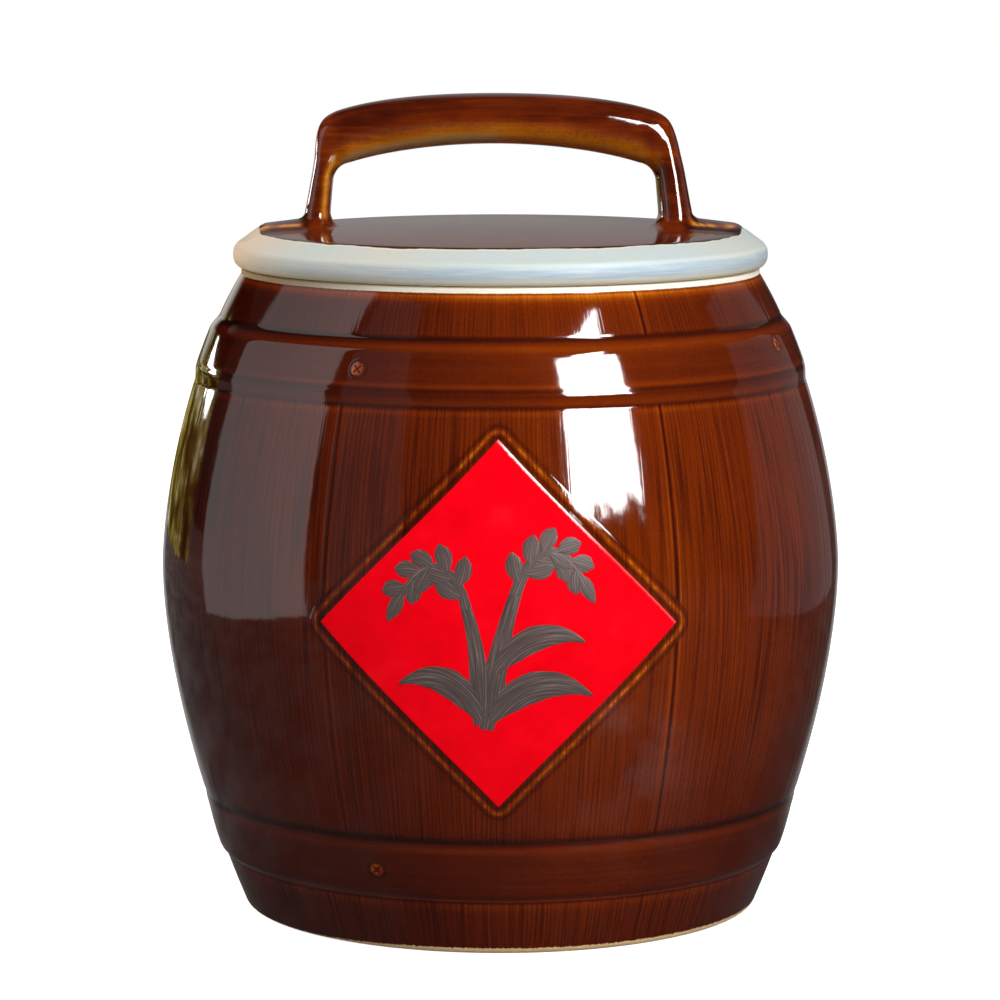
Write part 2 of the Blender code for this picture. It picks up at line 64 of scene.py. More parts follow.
# Lines round the barrel: height, width, relief and how far the glaze there is thinner than about it
HOOP_LINES = [
    (0.0222, 0.0020, 0.0, 0.10),
    (0.0240, 0.0005, -0.00005, -0.14),
    (0.0250, 0.0005, 0.00006, 0.20),
    (0.0480, 0.0022, 0.00010, 0.10),
    (0.0520, 0.0018, -0.00020, -0.22),
    (0.2328, 0.0012, 0.0, 0.09),
    (0.2349, 0.0009, -0.00004, -0.16),
    (0.2372, 0.0010, 0.0, 0.05),
    (0.2399, 0.0008, 0.0, -0.06),
    (0.2417, 0.0009, -0.00010, -0.14),
    (0.2437, 0.0009, 0.0, 0.11),
    (0.2588, 0.0017, 0.0, 0.13),
    (0.2625, 0.0011, -0.00008, -0.26),
    (0.2796, 0.0010, 0.0, 0.32),
    (0.2780, 0.0022, 0.0, 0.09),
]
LINE_RELIEF = 2
LINE_TONE = 3

# Staves, by the angle of each seam from the front, in degrees
SEAMS = (-110.0, -70.0, -29.4, 29.4, 70.0, 110.0, 150.6, 209.4)
SEAM_SIDE = (0.0003, 0.0006, 0.0010, 0.0014, 0.0019, 0.0026)
SEAM_OFFSETS = (*(-offset for offset in reversed(SEAM_SIDE)), 0.0, *SEAM_SIDE)
SEAM_DEPTH = 0.00008
COLUMN_PITCH = math.radians(1.25)

# Diamond: its middle and half diagonal, and the bead that runs round it with rounded corners
PANEL_HEIGHT = 0.1456
PANEL_ACROSS = -0.0010
PANEL_HALF = 0.0773
PANEL_PROUD = 0.0004
PANEL_THICK = 0.0004
BEAD_OFFSET = 0.0037
BEAD_CORNER = 0.0055
BEAD_REACH = PANEL_HALF + (BEAD_OFFSET - BEAD_CORNER) * math.sqrt(2)
BEAD_HALF_WIDTH = 0.0031

# Screw heads in relief on the hoops, by angle and height, and how far a hoop's face is foreshortened
SCREWS = (
    (-26.8, 0.2497), (66.3, 0.2538), (156.0, 0.2505), (246.0, 0.2505),
    (-23.9, 0.0375), (96.0, 0.0375), (216.0, 0.0375),
)
SCREW_FOOT = 0.0036
SCREW_SHEET = 0.0052
HOOP_LEAN = 0.93

# Brush strokes of the motif: how far the paint stands off the panel, and how much it swells
PAINT_OFF = 0.00004
PAINT_SWELL = 0.00016

# Lid, its dome and its rim
LID_DOME_EDGE = (0.1055, 0.2990)
LID_DOME = 0.0040
RIM_TOP = (0.1156, 0.2939)
RIM_TOP_PULLS = ((0.1169, 0.2932), (0.1177, 0.2922))
RIM_SIDE = (0.1178, 0.2892)
RIM_LOW_PULLS = ((0.1178, 0.2864), (0.1166, 0.2840))
RIM_LOW = (0.1140, 0.2838)
COLLAR_OUTER = 0.0970
COLLAR_INNER = 0.0905
COLLAR_LOW = 0.2715
LID_INSIDE_HEIGHT = 0.2910

# Handle outlines in the plane through both feet, one half each, as (distance from the axis, height)
GRIP_OUTER = [
    ((0.0851, 0.3080), (0.0836, 0.3160), (0.0820, 0.3245), (0.0804, 0.3328)),
    ((0.0804, 0.3328), (0.0786, 0.3472), (0.0759, 0.3488), (0.0700, 0.3516)),
    ((0.0700, 0.3516), (0.0550, 0.3567), (0.0318, 0.3594), (0.0, 0.3594)),
]
GRIP_INNER = [
    ((0.0721, 0.3080), (0.0717, 0.3125), (0.0713, 0.3170), (0.0709, 0.3215)),
    ((0.0709, 0.3215), (0.0701, 0.3252), (0.0679, 0.3283), (0.0633, 0.3290)),
    ((0.0633, 0.3290), (0.0494, 0.3335), (0.0255, 0.3373), (0.0, 0.3373)),
]
GRIP_STEPS = (12, 18, 24)
GRIP_SIDES = 48
GRIP_PLAN = ((0.0, 0.020, 0.045, 0.060, 0.070), (0.0158, 0.0153, 0.0137, 0.0120, 0.0114))
RIGHT_LEG_PLAN = ((0.3060, 0.3120, 0.3240, 0.3360), (0.0162, 0.0150, 0.0128, 0.0114))
LEFT_LEG_PLAN = ((0.3060, 0.3120, 0.3240, 0.3360), (0.0124, 0.0122, 0.0119, 0.0114))
GRIP_SQUARENESS = 2.5
LEG_MIDDLE = 0.0790

# Lean of the hand-pressed handle to the left, at its legs and at its bar
OUTER_LEAN = (0.0009, 0.0021)
INNER_LEAN = (0.0027, 0.0027)
FOOT_LEAN = 0.0018

# Tongue that carries each foot out over the lid to its rim
TONGUE_CREST = ((0.0945, 0.3036), (0.1044, 0.3024), (0.1144, 0.2952))
TONGUE_HALF_DEPTH = 0.0200
FOOT_END = 0.1163
FOOT_REACH = (0.0170, 0.0240)


# Working with pieces

def begin(primitive, **settings):
    """Add a primitive with nothing else selected, and return it."""
    bpy.ops.object.select_all(action="DESELECT")
    primitive(**settings)
    return bpy.context.active_object


def choose(*pieces):
    """Select these pieces alone, the first of them active."""
    bpy.ops.object.select_all(action="DESELECT")
    for piece in pieces:
        piece.select_set(True)
    bpy.context.view_layer.objects.active = pieces[0]


def edit(piece):
    choose(piece)
    bpy.ops.object.mode_set(mode="EDIT")


def leave_edit():
    bpy.ops.object.mode_set(mode="OBJECT")


def close_seams(piece):
    """Merge the doubled points of a seam or pole and turn every face outwards."""
    edit(piece)
    bpy.ops.mesh.select_all(action="SELECT")
    bpy.ops.mesh.remove_doubles(threshold=0.000005)
    bpy.ops.mesh.normals_make_consistent(inside=False)
    leave_edit()


def finish_piece(piece, name, material, smooth_angle=45):
    piece.name = name
    piece.data.name = name
    piece.data.materials.clear()
    piece.data.materials.append(material)
    choose(piece)
    bpy.ops.object.shade_smooth_by_angle(angle=math.radians(smooth_angle), keep_sharp_edges=False)


def points_of(piece):
    places = np.empty(len(piece.data.vertices) * 3, dtype=np.float32)
    piece.data.vertices.foreach_get("co", places)
    return places.reshape(-1, 3).astype(float)


def set_points(piece, places):
    piece.data.vertices.foreach_set("co", np.asarray(places, dtype=np.float32).ravel())
    piece.data.update()


def set_value(piece, name, values):
    """Store one number for each point of a piece, for its material to read."""
    layer = piece.data.attributes.new(name, "FLOAT", "POINT")
    layer.data.foreach_set("value", np.asarray(values, dtype=np.float32))


def round_axis(radius, angle, height):
    """Points by their distance from the jar's axis, their angle from the front and their height."""
    return np.stack([radius * np.sin(angle), -radius * np.cos(angle), height], axis=1)


def curve_points(knot, pull, next_pull, next_knot, steps):
    flat = [Vector((a, b, 0.0)) for a, b in (knot, pull, next_pull, next_knot)]
    return [(point.x, point.y) for point in interpolate_bezier(*flat, steps + 1)]


def turned(outline, steps):
    """Extrude a point along an outline of (radius, height), and spin it round the jar's axis."""
    piece = begin(bpy.ops.mesh.primitive_plane_add, size=0.001, location=(0, 0, 0))
    piece.data.transform(piece.matrix_world)
    edit(piece)
    bpy.ops.mesh.select_all(action="SELECT")
    bpy.ops.mesh.merge(type="CENTER")
    bpy.ops.transform.translate(value=(outline[0][0], 0, outline[0][1]))
    for (radius, height), (next_radius, next_height) in zip(outline, outline[1:]):
        step = (next_radius - radius, 0, next_height - height)
        bpy.ops.mesh.extrude_vertices_move(TRANSFORM_OT_translate={"value": step})
    bpy.ops.mesh.select_all(action="SELECT")
    bpy.ops.mesh.spin(steps=steps, angle=2 * math.pi, center=(0, 0, 0), axis=(0, 0, 1))
    leave_edit()
    close_seams(piece)
    return piece


def laid_sheet(columns, rows, place):
    """Add a grid of faces and lay its points over a surface; place takes both ways across, 0 to 1."""
    piece = begin(bpy.ops.mesh.primitive_grid_add, x_subdivisions=columns, y_subdivisions=rows, size=2)
    flat = points_of(piece)
    set_points(piece, place((flat[:, 0] + 1) / 2, (flat[:, 1] + 1) / 2))
    return piece


# Shape of the wall

LOW_WALL = curve_points(BELLY, *LOW_PULLS, FOOT, 300)
HIGH_WALL = curve_points(BELLY, *HIGH_PULLS, SHOULDER, 300)
WALL_HEIGHTS = np.array([z for r, z in reversed(LOW_WALL)] + [z for r, z in HIGH_WALL[1:]])
WALL_RADII = np.array([r for r, z in reversed(LOW_WALL)] + [r for r, z in HIGH_WALL[1:]])


def wall_radius(height):
    return np.interp(height, WALL_HEIGHTS, WALL_RADII)


def smooth_step(value):
    value = np.clip(value, 0.0, 1.0)
    return value * value * (3.0 - 2.0 * value)


def rises(value, start, length):
    """0 up to the start and 1 from one length past it, smooth between."""
    return smooth_step((value - start) / length)


def falls(value, end, length):
    """1 up to one length before the end and 0 from the end on, smooth between."""
    return smooth_step((end - value) / length)


def bell(value, width):
    """A smooth hump, 1 where the value is 0."""
    return np.exp(-(value / width) ** 2)


def add_lines(values, height, column):
    """Values by height with one column of the lines round the barrel added to them."""
    for line in HOOP_LINES:
        values = values + line[column] * bell(height - line[0], line[1])
    return values


def hoop_relief(height):
    """How far the hoops and the lines beside them stand proud of the stave wall."""
    height = np.asarray(height, dtype=float)
    low, top = LOW_HOOP
    relief = LOW_HOOP_PROUD * rises(height, low, 0.0030) * falls(height, top, 0.0235) ** 0.7
    low, top = HIGH_HOOP
    swell = rises(height, HIGH_HOOP_LOW, low - HIGH_HOOP_LOW) ** 0.8
    relief = relief + HIGH_HOOP_PROUD * swell * falls(height, top, 0.0060)
    return add_lines(relief, height, LINE_RELIEF)


def on_staves(height):
    """1 on the staves, 0 on the hoops and off the wall."""
    off_low_hoop = 1.0 - rises(height, 0.0235, 0.0012) * falls(height, 0.0530, 0.0015)
    off_high_hoop = 1.0 - rises(height, 0.2345, 0.0012) * falls(height, 0.2642, 0.0015)
    on_wall = rises(height, 0.0015, 0.002) * falls(height, 0.2818, 0.0012)
    return off_low_hoop * off_high_hoop * on_wall


def wall_rows():
    """Heights of the wall's rows from the foot up, closest at the edges of the hoops."""
    spans = [(0.0022, 0.0224, 7), (0.0230, 0.0268, 9), (0.0280, 0.0470, 11), (0.0478, 0.0545, 12)]
    spans += [(0.0575, 0.2290, 44), (0.2310, 0.2446, 32), (0.2458, 0.2565, 9), (0.2574, 0.2660, 16)]
    spans += [(0.2680, 0.2790, 6), (0.2795, 0.2812, 5)]
    return np.concatenate([np.linspace(low, high, count) for low, high, count in spans])


def stave_columns():
    """Angles of the wall's columns, close together in each seam and even across each stave."""
    columns = []
    for seam, after in zip(SEAMS, SEAMS[1:] + (SEAMS[0] + 360,)):
        columns += [math.radians(seam) + offset / BELLY[0] for offset in SEAM_OFFSETS]
        start = math.radians(seam) + SEAM_OFFSETS[-1] / BELLY[0]
        end = math.radians(after) + SEAM_OFFSETS[0] / BELLY[0]
        count = round((end - start) / COLUMN_PITCH)
        columns += [start + (end - start) * step / count for step in range(1, count)]
    return np.array(columns)


def seam_distance(angle):
    """Distance along the wall to the nearest seam, positive on its right."""
    gaps = [(angle - math.radians(seam) + np.pi) % (2 * np.pi) - np.pi for seam in SEAMS]
    gaps = np.stack(gaps)
    return BELLY[0] * np.take_along_axis(gaps, np.abs(gaps).argmin(axis=0)[None], axis=0)[0]


def seam_share(angle, height):
    """How plainly the seams show: the glaze fills those on the left, most of all above the hoop."""
    turned_right = (angle + np.pi) % (2 * np.pi) - np.pi
    left = falls(turned_right, -0.30, 0.15)
    return 1.0 - left * (0.45 + 0.40 * rises(height, 0.258, 0.006))


def make_jar_wall(material):
    """The outside of the casting, from under its foot up over the lip, with staves and hoops."""
    rows = wall_rows()
    foot = [(0.0, FOOT_RECESS), (0.0920, FOOT_RECESS), (0.0950, 0.0046)]
    foot += [(0.0962, 0.0022), (0.0972, 0.0004), (0.0984, 0.0)]
    heel = (float(wall_radius(0.0021)), 0.0021)
    foot += curve_points((0.1108, 0.0), (0.1125, 0.0), (0.1138, 0.0008), heel, 5)
    wall = [(float(wall_radius(row) + hoop_relief(row)), float(row)) for row in rows]
    lip = curve_points((0.11415, 0.2816), (0.1145, 0.2826), (0.1140, LIP_HEIGHT), (0.1122, LIP_HEIGHT), 6)
    inner_edge = ((MOUTH_RADIUS, 0.2826), (MOUTH_RADIUS, 0.2812))
    lip += curve_points((0.1030, LIP_HEIGHT), (0.1010, LIP_HEIGHT), *inner_edge, 5)
    columns = stave_columns()
    piece = turned(foot + wall + lip + [(MOUTH_RADIUS, 0.2790)], len(columns))
    places = points_of(piece)
    radius = np.hypot(places[:, 0], places[:, 1])
    turn = np.arctan2(places[:, 1], places[:, 0]) % (2 * np.pi)
    number = np.round(turn / (2 * np.pi / len(columns))).astype(int) % len(columns)
    angle = columns[number]
    height = places[:, 2]
    seam = seam_distance(angle)
    staves = on_staves(height) * (radius > wall_radius(height) - 0.002)
    radius = radius - staves * SEAM_DEPTH * seam_share(angle, height) * bell(seam, 0.0014)
    set_points(piece, round_axis(radius, angle, height))
    close_seams(piece)
    places = points_of(piece)
    angle = np.arctan2(places[:, 0], -places[:, 1])
    height = places[:, 2]
    seam = seam_distance(angle)
    staves = on_staves(height)
    outside = np.where(np.hypot(places[:, 0], places[:, 1]) > 0.108, 1.0, 0.0)
    tone = add_lines(np.zeros_like(height), height, LINE_TONE) * outside
    edges = 0.15 * bell(np.abs(seam) - 0.0017, 0.0007) - 0.27 * bell(seam, 0.0008)
    faint = (0.45 + 0.55 * rises(height, 0.030, 0.07)) * seam_share(angle, height)
    set_value(piece, "tone", tone + staves * edges * faint)
    set_value(piece, "grain", staves)
    finish_piece(piece, "jar_wall", material)
    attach(piece, "jar")
    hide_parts("jar_body")


def make_jar_lining(material):
    """The inside of the casting, from the lip's inner edge down to the floor."""
    outline = [(MOUTH_RADIUS, 0.2795), (MOUTH_RADIUS, 0.2745)]
    outline += curve_points((MOUTH_RADIUS, 0.2740), (0.1002, 0.2700), (0.1080, 0.2690), (0.1128, 0.2655), 8)
    outline += [(float(wall_radius(row)) - WALL, float(row)) for row in np.linspace(0.262, 0.040, 40)]
    corner = float(wall_radius(0.036)) - WALL
    floor_edge = ((0.1040, INSIDE_FLOOR), (0.0950, INSIDE_FLOOR))
    outline += curve_points((corner, 0.0365), (corner - 0.006, 0.0200), *floor_edge, 10)
    outline += [(0.0600, INSIDE_FLOOR), (0.0, INSIDE_FLOOR)]
    back = [(0.0, 0.0150), (0.0960, 0.0150)]
    back_rows = (0.030, 0.040, 0.080, 0.152, 0.225, 0.262)
    back += [(float(wall_radius(row)) - WALL + 0.001, row) for row in back_rows]
    back += [(0.1010, 0.2700), (0.1010, 0.2795), outline[0]]
    piece = turned(outline + back, 144)
    finish_piece(piece, "jar_lining", material)
    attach(piece, "jar")


# The diamond on the front

def on_front(across, up, proud):
    """Points by their distance across the wall and up from the panel's middle, standing proud of it."""
    height = PANEL_HEIGHT + up
    radius = wall_radius(height) + proud
    angle = (across + PANEL_ACROSS) / BELLY[0]
    return round_axis(radius, angle, height)


def bead_path():
    """The bead's middle line: (across, up) of each point, and its direction outwards."""
    points = []
    for corner in range(4):
        turn = math.radians(90 * corner - 90)
        outs = turn + np.radians(np.linspace(-45, 45, 11))
        across = BEAD_REACH * math.cos(turn) + BEAD_CORNER * np.cos(outs)
        up = BEAD_REACH * math.sin(turn) + BEAD_CORNER * np.sin(outs)
        points += list(zip(across, up, outs))
        aside = -BEAD_REACH * (math.cos(turn) + math.sin(turn))
        along = BEAD_REACH * (math.cos(turn) - math.sin(turn))
        x, y, out = points[-1]
        points += [(x + aside * share, y + along * share, out) for share in np.linspace(0, 1, 61)[1:-1]]
    return np.array(points)


def make_diamond_bead(material):
    """The raised bead round the diamond, a low soft ridge laid over the staves."""
    offsets = np.linspace(-BEAD_HALF_WIDTH, BEAD_HALF_WIDTH, 17)
    prouds = 0.00004 * bell(offsets, 0.0018) + 0.00002
    prouds = prouds - 0.00005 * rises(np.abs(offsets), 0.0018, 0.0013)
    path = bead_path()

    def place(u, v):
        row = path[np.round(u * len(path)).astype(int) % len(path)]
        number = np.round(v * (len(offsets) - 1)).astype(int)
        across = row[:, 0] + offsets[number] * np.cos(row[:, 2])
        up = row[:, 1] + offsets[number] * np.sin(row[:, 2])
        return on_front(across, up, prouds[number])

    piece = laid_sheet(len(path), len(offsets) - 1, place)
    close_seams(piece)
    set_value(piece, "tone", np.zeros(len(piece.data.vertices)))
    set_value(piece, "grain", np.ones(len(piece.data.vertices)))
    finish_piece(piece, "diamond_bead", material, 60)
    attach(piece, "jar")


def make_red_panel(material):
    """The enamel field, a thin slab with a softened edge that follows the wall."""
    edge = [0.0, 0.0006, 0.0020, 0.0045]
    lines = np.concatenate([edge, np.linspace(0.012, 0.988, 60), [0.9955, 0.998, 0.9994, 1.0]])
    drops = np.interp(np.minimum(lines, 1 - lines), edge, [0.36, 0.18, 0.04, 0.0]) * 0.001

    def place(u, v):
        a = np.interp(u, np.linspace(0, 1, len(lines)), lines)
        b = np.interp(v, np.linspace(0, 1, len(lines)), lines)
        drop = np.maximum(np.interp(a, lines, drops), np.interp(b, lines, drops))
        return on_front(PANEL_HALF * (a - b), PANEL_HALF * (a + b - 1), PANEL_PROUD - drop)

    piece = laid_sheet(len(lines) - 1, len(lines) - 1, place)
    thickness = piece.modifiers.new("thickness", "SOLIDIFY")
    thickness.thickness = PANEL_THICK
    thickness.offset = -1.0
    bpy.ops.object.modifier_apply(modifier="thickness")
    close_seams(piece)
    finish_piece(piece, "red_panel", material, 60)
    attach(piece, "jar")
    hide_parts("diamond_panel")


# Screw heads and brush strokes

def on_hoop(angle, height, across, up, proud):
    """Points by their place beside a screw's middle, laid over the hoop and standing proud of it."""
    level = height + up * HOOP_LEAN
    radius = wall_radius(level) + hoop_relief(level) + proud
    return round_axis(radius, math.radians(angle) + across / radius, level)


def make_screw_head(name, angle, height, material):
    """A low dome with a cross pressed into it, on a thin skirt that lies over the hoop."""
    def place(u, v):
        across = (2 * u - 1) * SCREW_SHEET
        up = (2 * v - 1) * SCREW_SHEET
        return on_hoop(angle, height, across, up, screw_rise(across, up))

    piece = laid_sheet(30, 30, place)
    places = points_of(piece)
    across = (np.arctan2(places[:, 0], -places[:, 1]) - math.radians(angle) + np.pi) % (2 * np.pi) - np.pi
    across = across * np.hypot(places[:, 0], places[:, 1])
    up = (places[:, 2] - height) / HOOP_LEAN
    away = np.hypot(across, up)
    tone = 0.46 * falls(away, 0.0033, 0.0010) * (0.80 - across / 0.012)
    tone -= 0.08 * bell(away - 0.0042, 0.0010)
    tone -= 0.62 * cross_press(across, up)
    set_value(piece, "tone", tone)
    set_value(piece, "grain", np.zeros(len(places)))
    finish_piece(piece, name, material, 60)
    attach(piece, "jar")


def cross_press(across, up):
    """1 in the middle of the screw's cross, an X, and 0 beside it."""
    one = (across + up) / math.sqrt(2)
    other = (across - up) / math.sqrt(2)
    arm = np.minimum(np.abs(one), np.abs(other))
    return bell(arm, 0.00040) * falls(np.maximum(np.abs(one), np.abs(other)), 0.0025, 0.0008)


def screw_rise(across, up):
    away = np.hypot(across, up)
    dome = 0.00034 * falls(away, SCREW_FOOT, 0.0018)
    skirt = 0.00006 - 0.00030 * rises(away, 0.0044, 0.0010)
    return dome + skirt - 0.00030 * cross_press(across, up)


def brush_stroke(points, widths, material, lift):
    """One stroke of thick paint along a curve of (across, up), in millimetres from the panel's middle."""
    steps = 22 if len(points) > 3 else 12
    curve = [Vector((a, b, 0.0)) for a, b in points]
    line = np.array(interpolate_bezier(*curve, steps + 1))[:, :2]
    slope = np.gradient(line, axis=0)
    slope /= np.linalg.norm(slope, axis=1)[:, None]
    share = np.linspace(0, 1, steps + 1)
    width = np.interp(share, np.linspace(0, 1, len(widths)), widths)
    length = np.concatenate([[0], np.cumsum(np.linalg.norm(np.diff(line, axis=0), axis=1))])
    across_steps = 8

    def place(u, v):
        row = np.round(u * steps).astype(int)
        side = 2 * v - 1
        reach = width[row] / 2 * side
        spot = line[row] + reach[:, None] * np.stack([-slope[row, 1], slope[row, 0]], axis=1)
        proud = PANEL_PROUD + PAINT_OFF + lift + PAINT_SWELL * (1 - side ** 4)
        return on_front(spot[:, 0] * 0.001, spot[:, 1] * 0.001, proud)

    piece = laid_sheet(steps, across_steps, place)
    flat = np.arange(len(piece.data.vertices))
    row = flat % (steps + 1)
    side = flat // (steps + 1)
    set_value(piece, "along", length[row] * 0.001)
    set_value(piece, "across", width[row] * (side / across_steps - 0.5) * 0.001)
    piece.data.materials.append(material)
    return piece


RIGHT_EAR = [(7, 14), (12, 32), (26, 40), (35, 20)]
LEFT_EAR = [(-13, 8), (-17, 27), (-31, 33), (-41, 12)]
GRAIN_PAIRS = 5

# Strokes by their points and widths in millimetres, and how far each is lifted over those under it
STEMS_AND_LEAVES = [
    ([(-5, -43), (-2, -22), (1, -4), (7, 14)], [6.0, 10.5, 8.5, 6.5, 5.2], 0.0),
    (RIGHT_EAR, [5.2, 4.4, 3.6, 2.4], 0.0),
    ([(-8, -41), (-7, -20), (-9, -4), (-13, 8)], [5.0, 8.5, 7.0, 5.6, 4.6], 0.00008),
    (LEFT_EAR, [4.6, 3.8, 3.2, 2.2], 0.0),
    ([(-3, -39), (6, -25), (22, -18), (40, -29)], [4.0, 12.0, 13.5, 9.5, 1.0], 0.00012),
    ([(-7, -39), (-14, -24), (-26, -16), (-42, -24)], [4.0, 11.0, 12.5, 8.5, 1.0], 0.00016),
    ([(-1, -18), (7, -5), (22, 2), (36, -6)], [3.5, 10.0, 11.0, 7.5, 1.0], 0.00020),
]


def make_painted_ears(material):
    """Two drooping ears of rice with their leaves, painted in thick grey-black strokes."""
    strokes = [brush_stroke(points, widths, material, lift) for points, widths, lift in STEMS_AND_LEAVES]
    strokes += ear_grains(RIGHT_EAR, GRAIN_PAIRS, material)
    strokes += ear_grains(LEFT_EAR, GRAIN_PAIRS, material)
    choose(*strokes)
    bpy.ops.object.join()
    piece = bpy.context.active_object
    finish_piece(piece, "painted_ears", material, 60)
    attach(piece, "jar")


def ear_grains(points, pairs, material):
    """Grains in pairs on both sides of an ear's stalk, each one short drop of the brush."""
    curve = [Vector((a, b, 0.0)) for a, b in points]
    line = np.array(interpolate_bezier(*curve, 2 * pairs + 2))[:, :2]
    grains = []
    for number in range(1, 2 * pairs + 1):
        way = line[number + 1] - line[number] if number < 2 * pairs else line[number] - line[number - 1]
        way = way / np.linalg.norm(way)
        side = 1 if number % 2 else -1
        spread = math.radians(34 + 5 * (number % 3)) * side
        sine, cosine = math.sin(spread), math.cos(spread)
        turned_way = np.array([way[0] * cosine - way[1] * sine, way[0] * sine + way[1] * cosine])
        start = line[number] + 1.2 * turned_way
        length = 12.5 - 0.30 * number
        ends = [start + turned_way * length * share for share in (0.0, 0.33, 0.67, 1.0)]
        ends[1] = ends[1] + 0.9 * side * np.array([-way[1], way[0]])
        shape = [1.8, 6.0, 7.4, 6.2, 1.0]
        grains.append(brush_stroke([tuple(end) for end in ends], shape, material, 0.00004 * (number % 4)))
    tip = line[-1]
    way = (line[-1] - line[-2]) / np.linalg.norm(line[-1] - line[-2])
    ends = [tuple(tip + way * length) for length in (-2.0, 2.0, 6.5, 11.0)]
    grains.append(brush_stroke(ends, [1.8, 5.4, 6.2, 4.4, 0.8], material, 0.00012))
    return grains


# Lid and handle

def soft_min(first, second, reach):
    return -reach * np.logaddexp(-first / reach, -second / reach)


def lid_top():
    """The lid's top from its middle out to the widest part of its rim, as (radius, height)."""
    radii = np.concatenate([np.linspace(0, 0.100, 51)[:-1], np.linspace(0.100, RIM_TOP[0], 28)])
    dome = LID_DOME_EDGE[1] + LID_DOME * (1 - (radii / LID_DOME_EDGE[0]) ** 2)
    slope = (RIM_TOP[1] - LID_DOME_EDGE[1]) / (RIM_TOP[0] - LID_DOME_EDGE[0])
    bevel = RIM_TOP[1] + slope * (radii - RIM_TOP[0])
    top = list(zip(radii.tolist(), soft_min(dome, bevel, 0.0003).tolist()))
    return top + curve_points(RIM_TOP, *RIM_TOP_PULLS, RIM_SIDE, 14)[1:]


LID_TOP = np.array(lid_top())


def lid_height(radius):
    return np.interp(radius, LID_TOP[:, 0], LID_TOP[:, 1])


def make_lid_cover(material):
    """The domed lid with its rounded rim, and the collar that drops into the mouth."""
    outline = [(float(r), float(z)) for r, z in LID_TOP]
    outline += curve_points(RIM_SIDE, *RIM_LOW_PULLS, RIM_LOW, 10)[1:]
    outline += [(0.1120, RIM_LOW[1]), (COLLAR_OUTER + 0.0008, RIM_LOW[1]), (COLLAR_OUTER, 0.2832)]
    outline += [(COLLAR_OUTER, COLLAR_LOW + 0.0015), (COLLAR_OUTER - 0.0004, COLLAR_LOW + 0.0004)]
    outline += [(COLLAR_OUTER - 0.0015, COLLAR_LOW), (COLLAR_INNER + 0.0015, COLLAR_LOW)]
    outline += [(COLLAR_INNER + 0.0004, COLLAR_LOW + 0.0004), (COLLAR_INNER, COLLAR_LOW + 0.0015)]
    inside_edge = ((0.0880, LID_INSIDE_HEIGHT), (0.0845, LID_INSIDE_HEIGHT))
    outline += curve_points((COLLAR_INNER, 0.2850), (COLLAR_INNER, 0.2885), *inside_edge, 6)
    outline += [(0.0500, LID_INSIDE_HEIGHT), (0.0, LID_INSIDE_HEIGHT)]
    piece = turned(outline, 288)
    finish_piece(piece, "lid_cover", material)
    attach(piece, "lid")
    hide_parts("lid")


def half_outline(pieces):
    points = [curve_points(*piece, steps) for piece, steps in zip(pieces, GRIP_STEPS)]
    return np.array(points[0][:-1] + points[1][:-1] + points[2])


def grip_section(outer, inner, half_depth, turn):
    """Points of one section of the bar between its two outlines, a rounded rectangle."""
    middle = (outer + inner) / 2
    reach = (outer - inner) / 2
    power = 2 / GRIP_SQUARENESS
    along = np.sign(np.cos(turn)) * np.abs(np.cos(turn)) ** power
    across = np.sign(np.sin(turn)) * np.abs(np.sin(turn)) ** power
    x, z = middle[0] + reach[0] * along, middle[1] + reach[1] * along
    return np.stack([x, half_depth * across, z], axis=1)


def tongue_rise(x, y):
    """How far the tongue swells above the lid, for a foot on the +X side."""
    (start, start_height), (knee, knee_height), (end, end_height) = TONGUE_CREST
    level = start_height + (x - start) * (knee_height - start_height) / (knee - start)
    fall = knee_height + (x - knee) * (end_height - knee_height) / (end - knee)
    crest = soft_min(level, fall, 0.0004)
    rise = np.maximum(crest - lid_height(np.hypot(x, y * 0.4)), 0.0)
    half = TONGUE_HALF_DEPTH - 0.006 * rises(x, 0.104, 0.012)
    arch = np.clip(1 - (y / half) ** 2, 0.0, 1.0) ** 1.3
    return rise * arch * rises(x, 0.072, 0.014)


def leaned(outline, lean, side):
    """One half of an outline on one side of the axis, moved to the left by the handle's lean."""
    share = rises(outline[:, 1], 0.325, 0.022)
    shift = lean[0] + (lean[1] - lean[0]) * share
    return np.stack([outline[:, 0] - side * shift, outline[:, 1]], axis=1)


def foot_fillet(spoke):
    """Radius of the fillet round a leg's foot, by the direction from the leg's middle."""
    return 0.0060 - 0.0026 * np.maximum(spoke[:, 0], 0) ** 2 - 0.0008 * np.maximum(-spoke[:, 0], 0) ** 2


def foot_seat(x, y):
    """Height of the lid and the tongue on it, for a foot on the +X side."""
    return lid_height(np.hypot(x, y)) + tongue_rise(x, y)


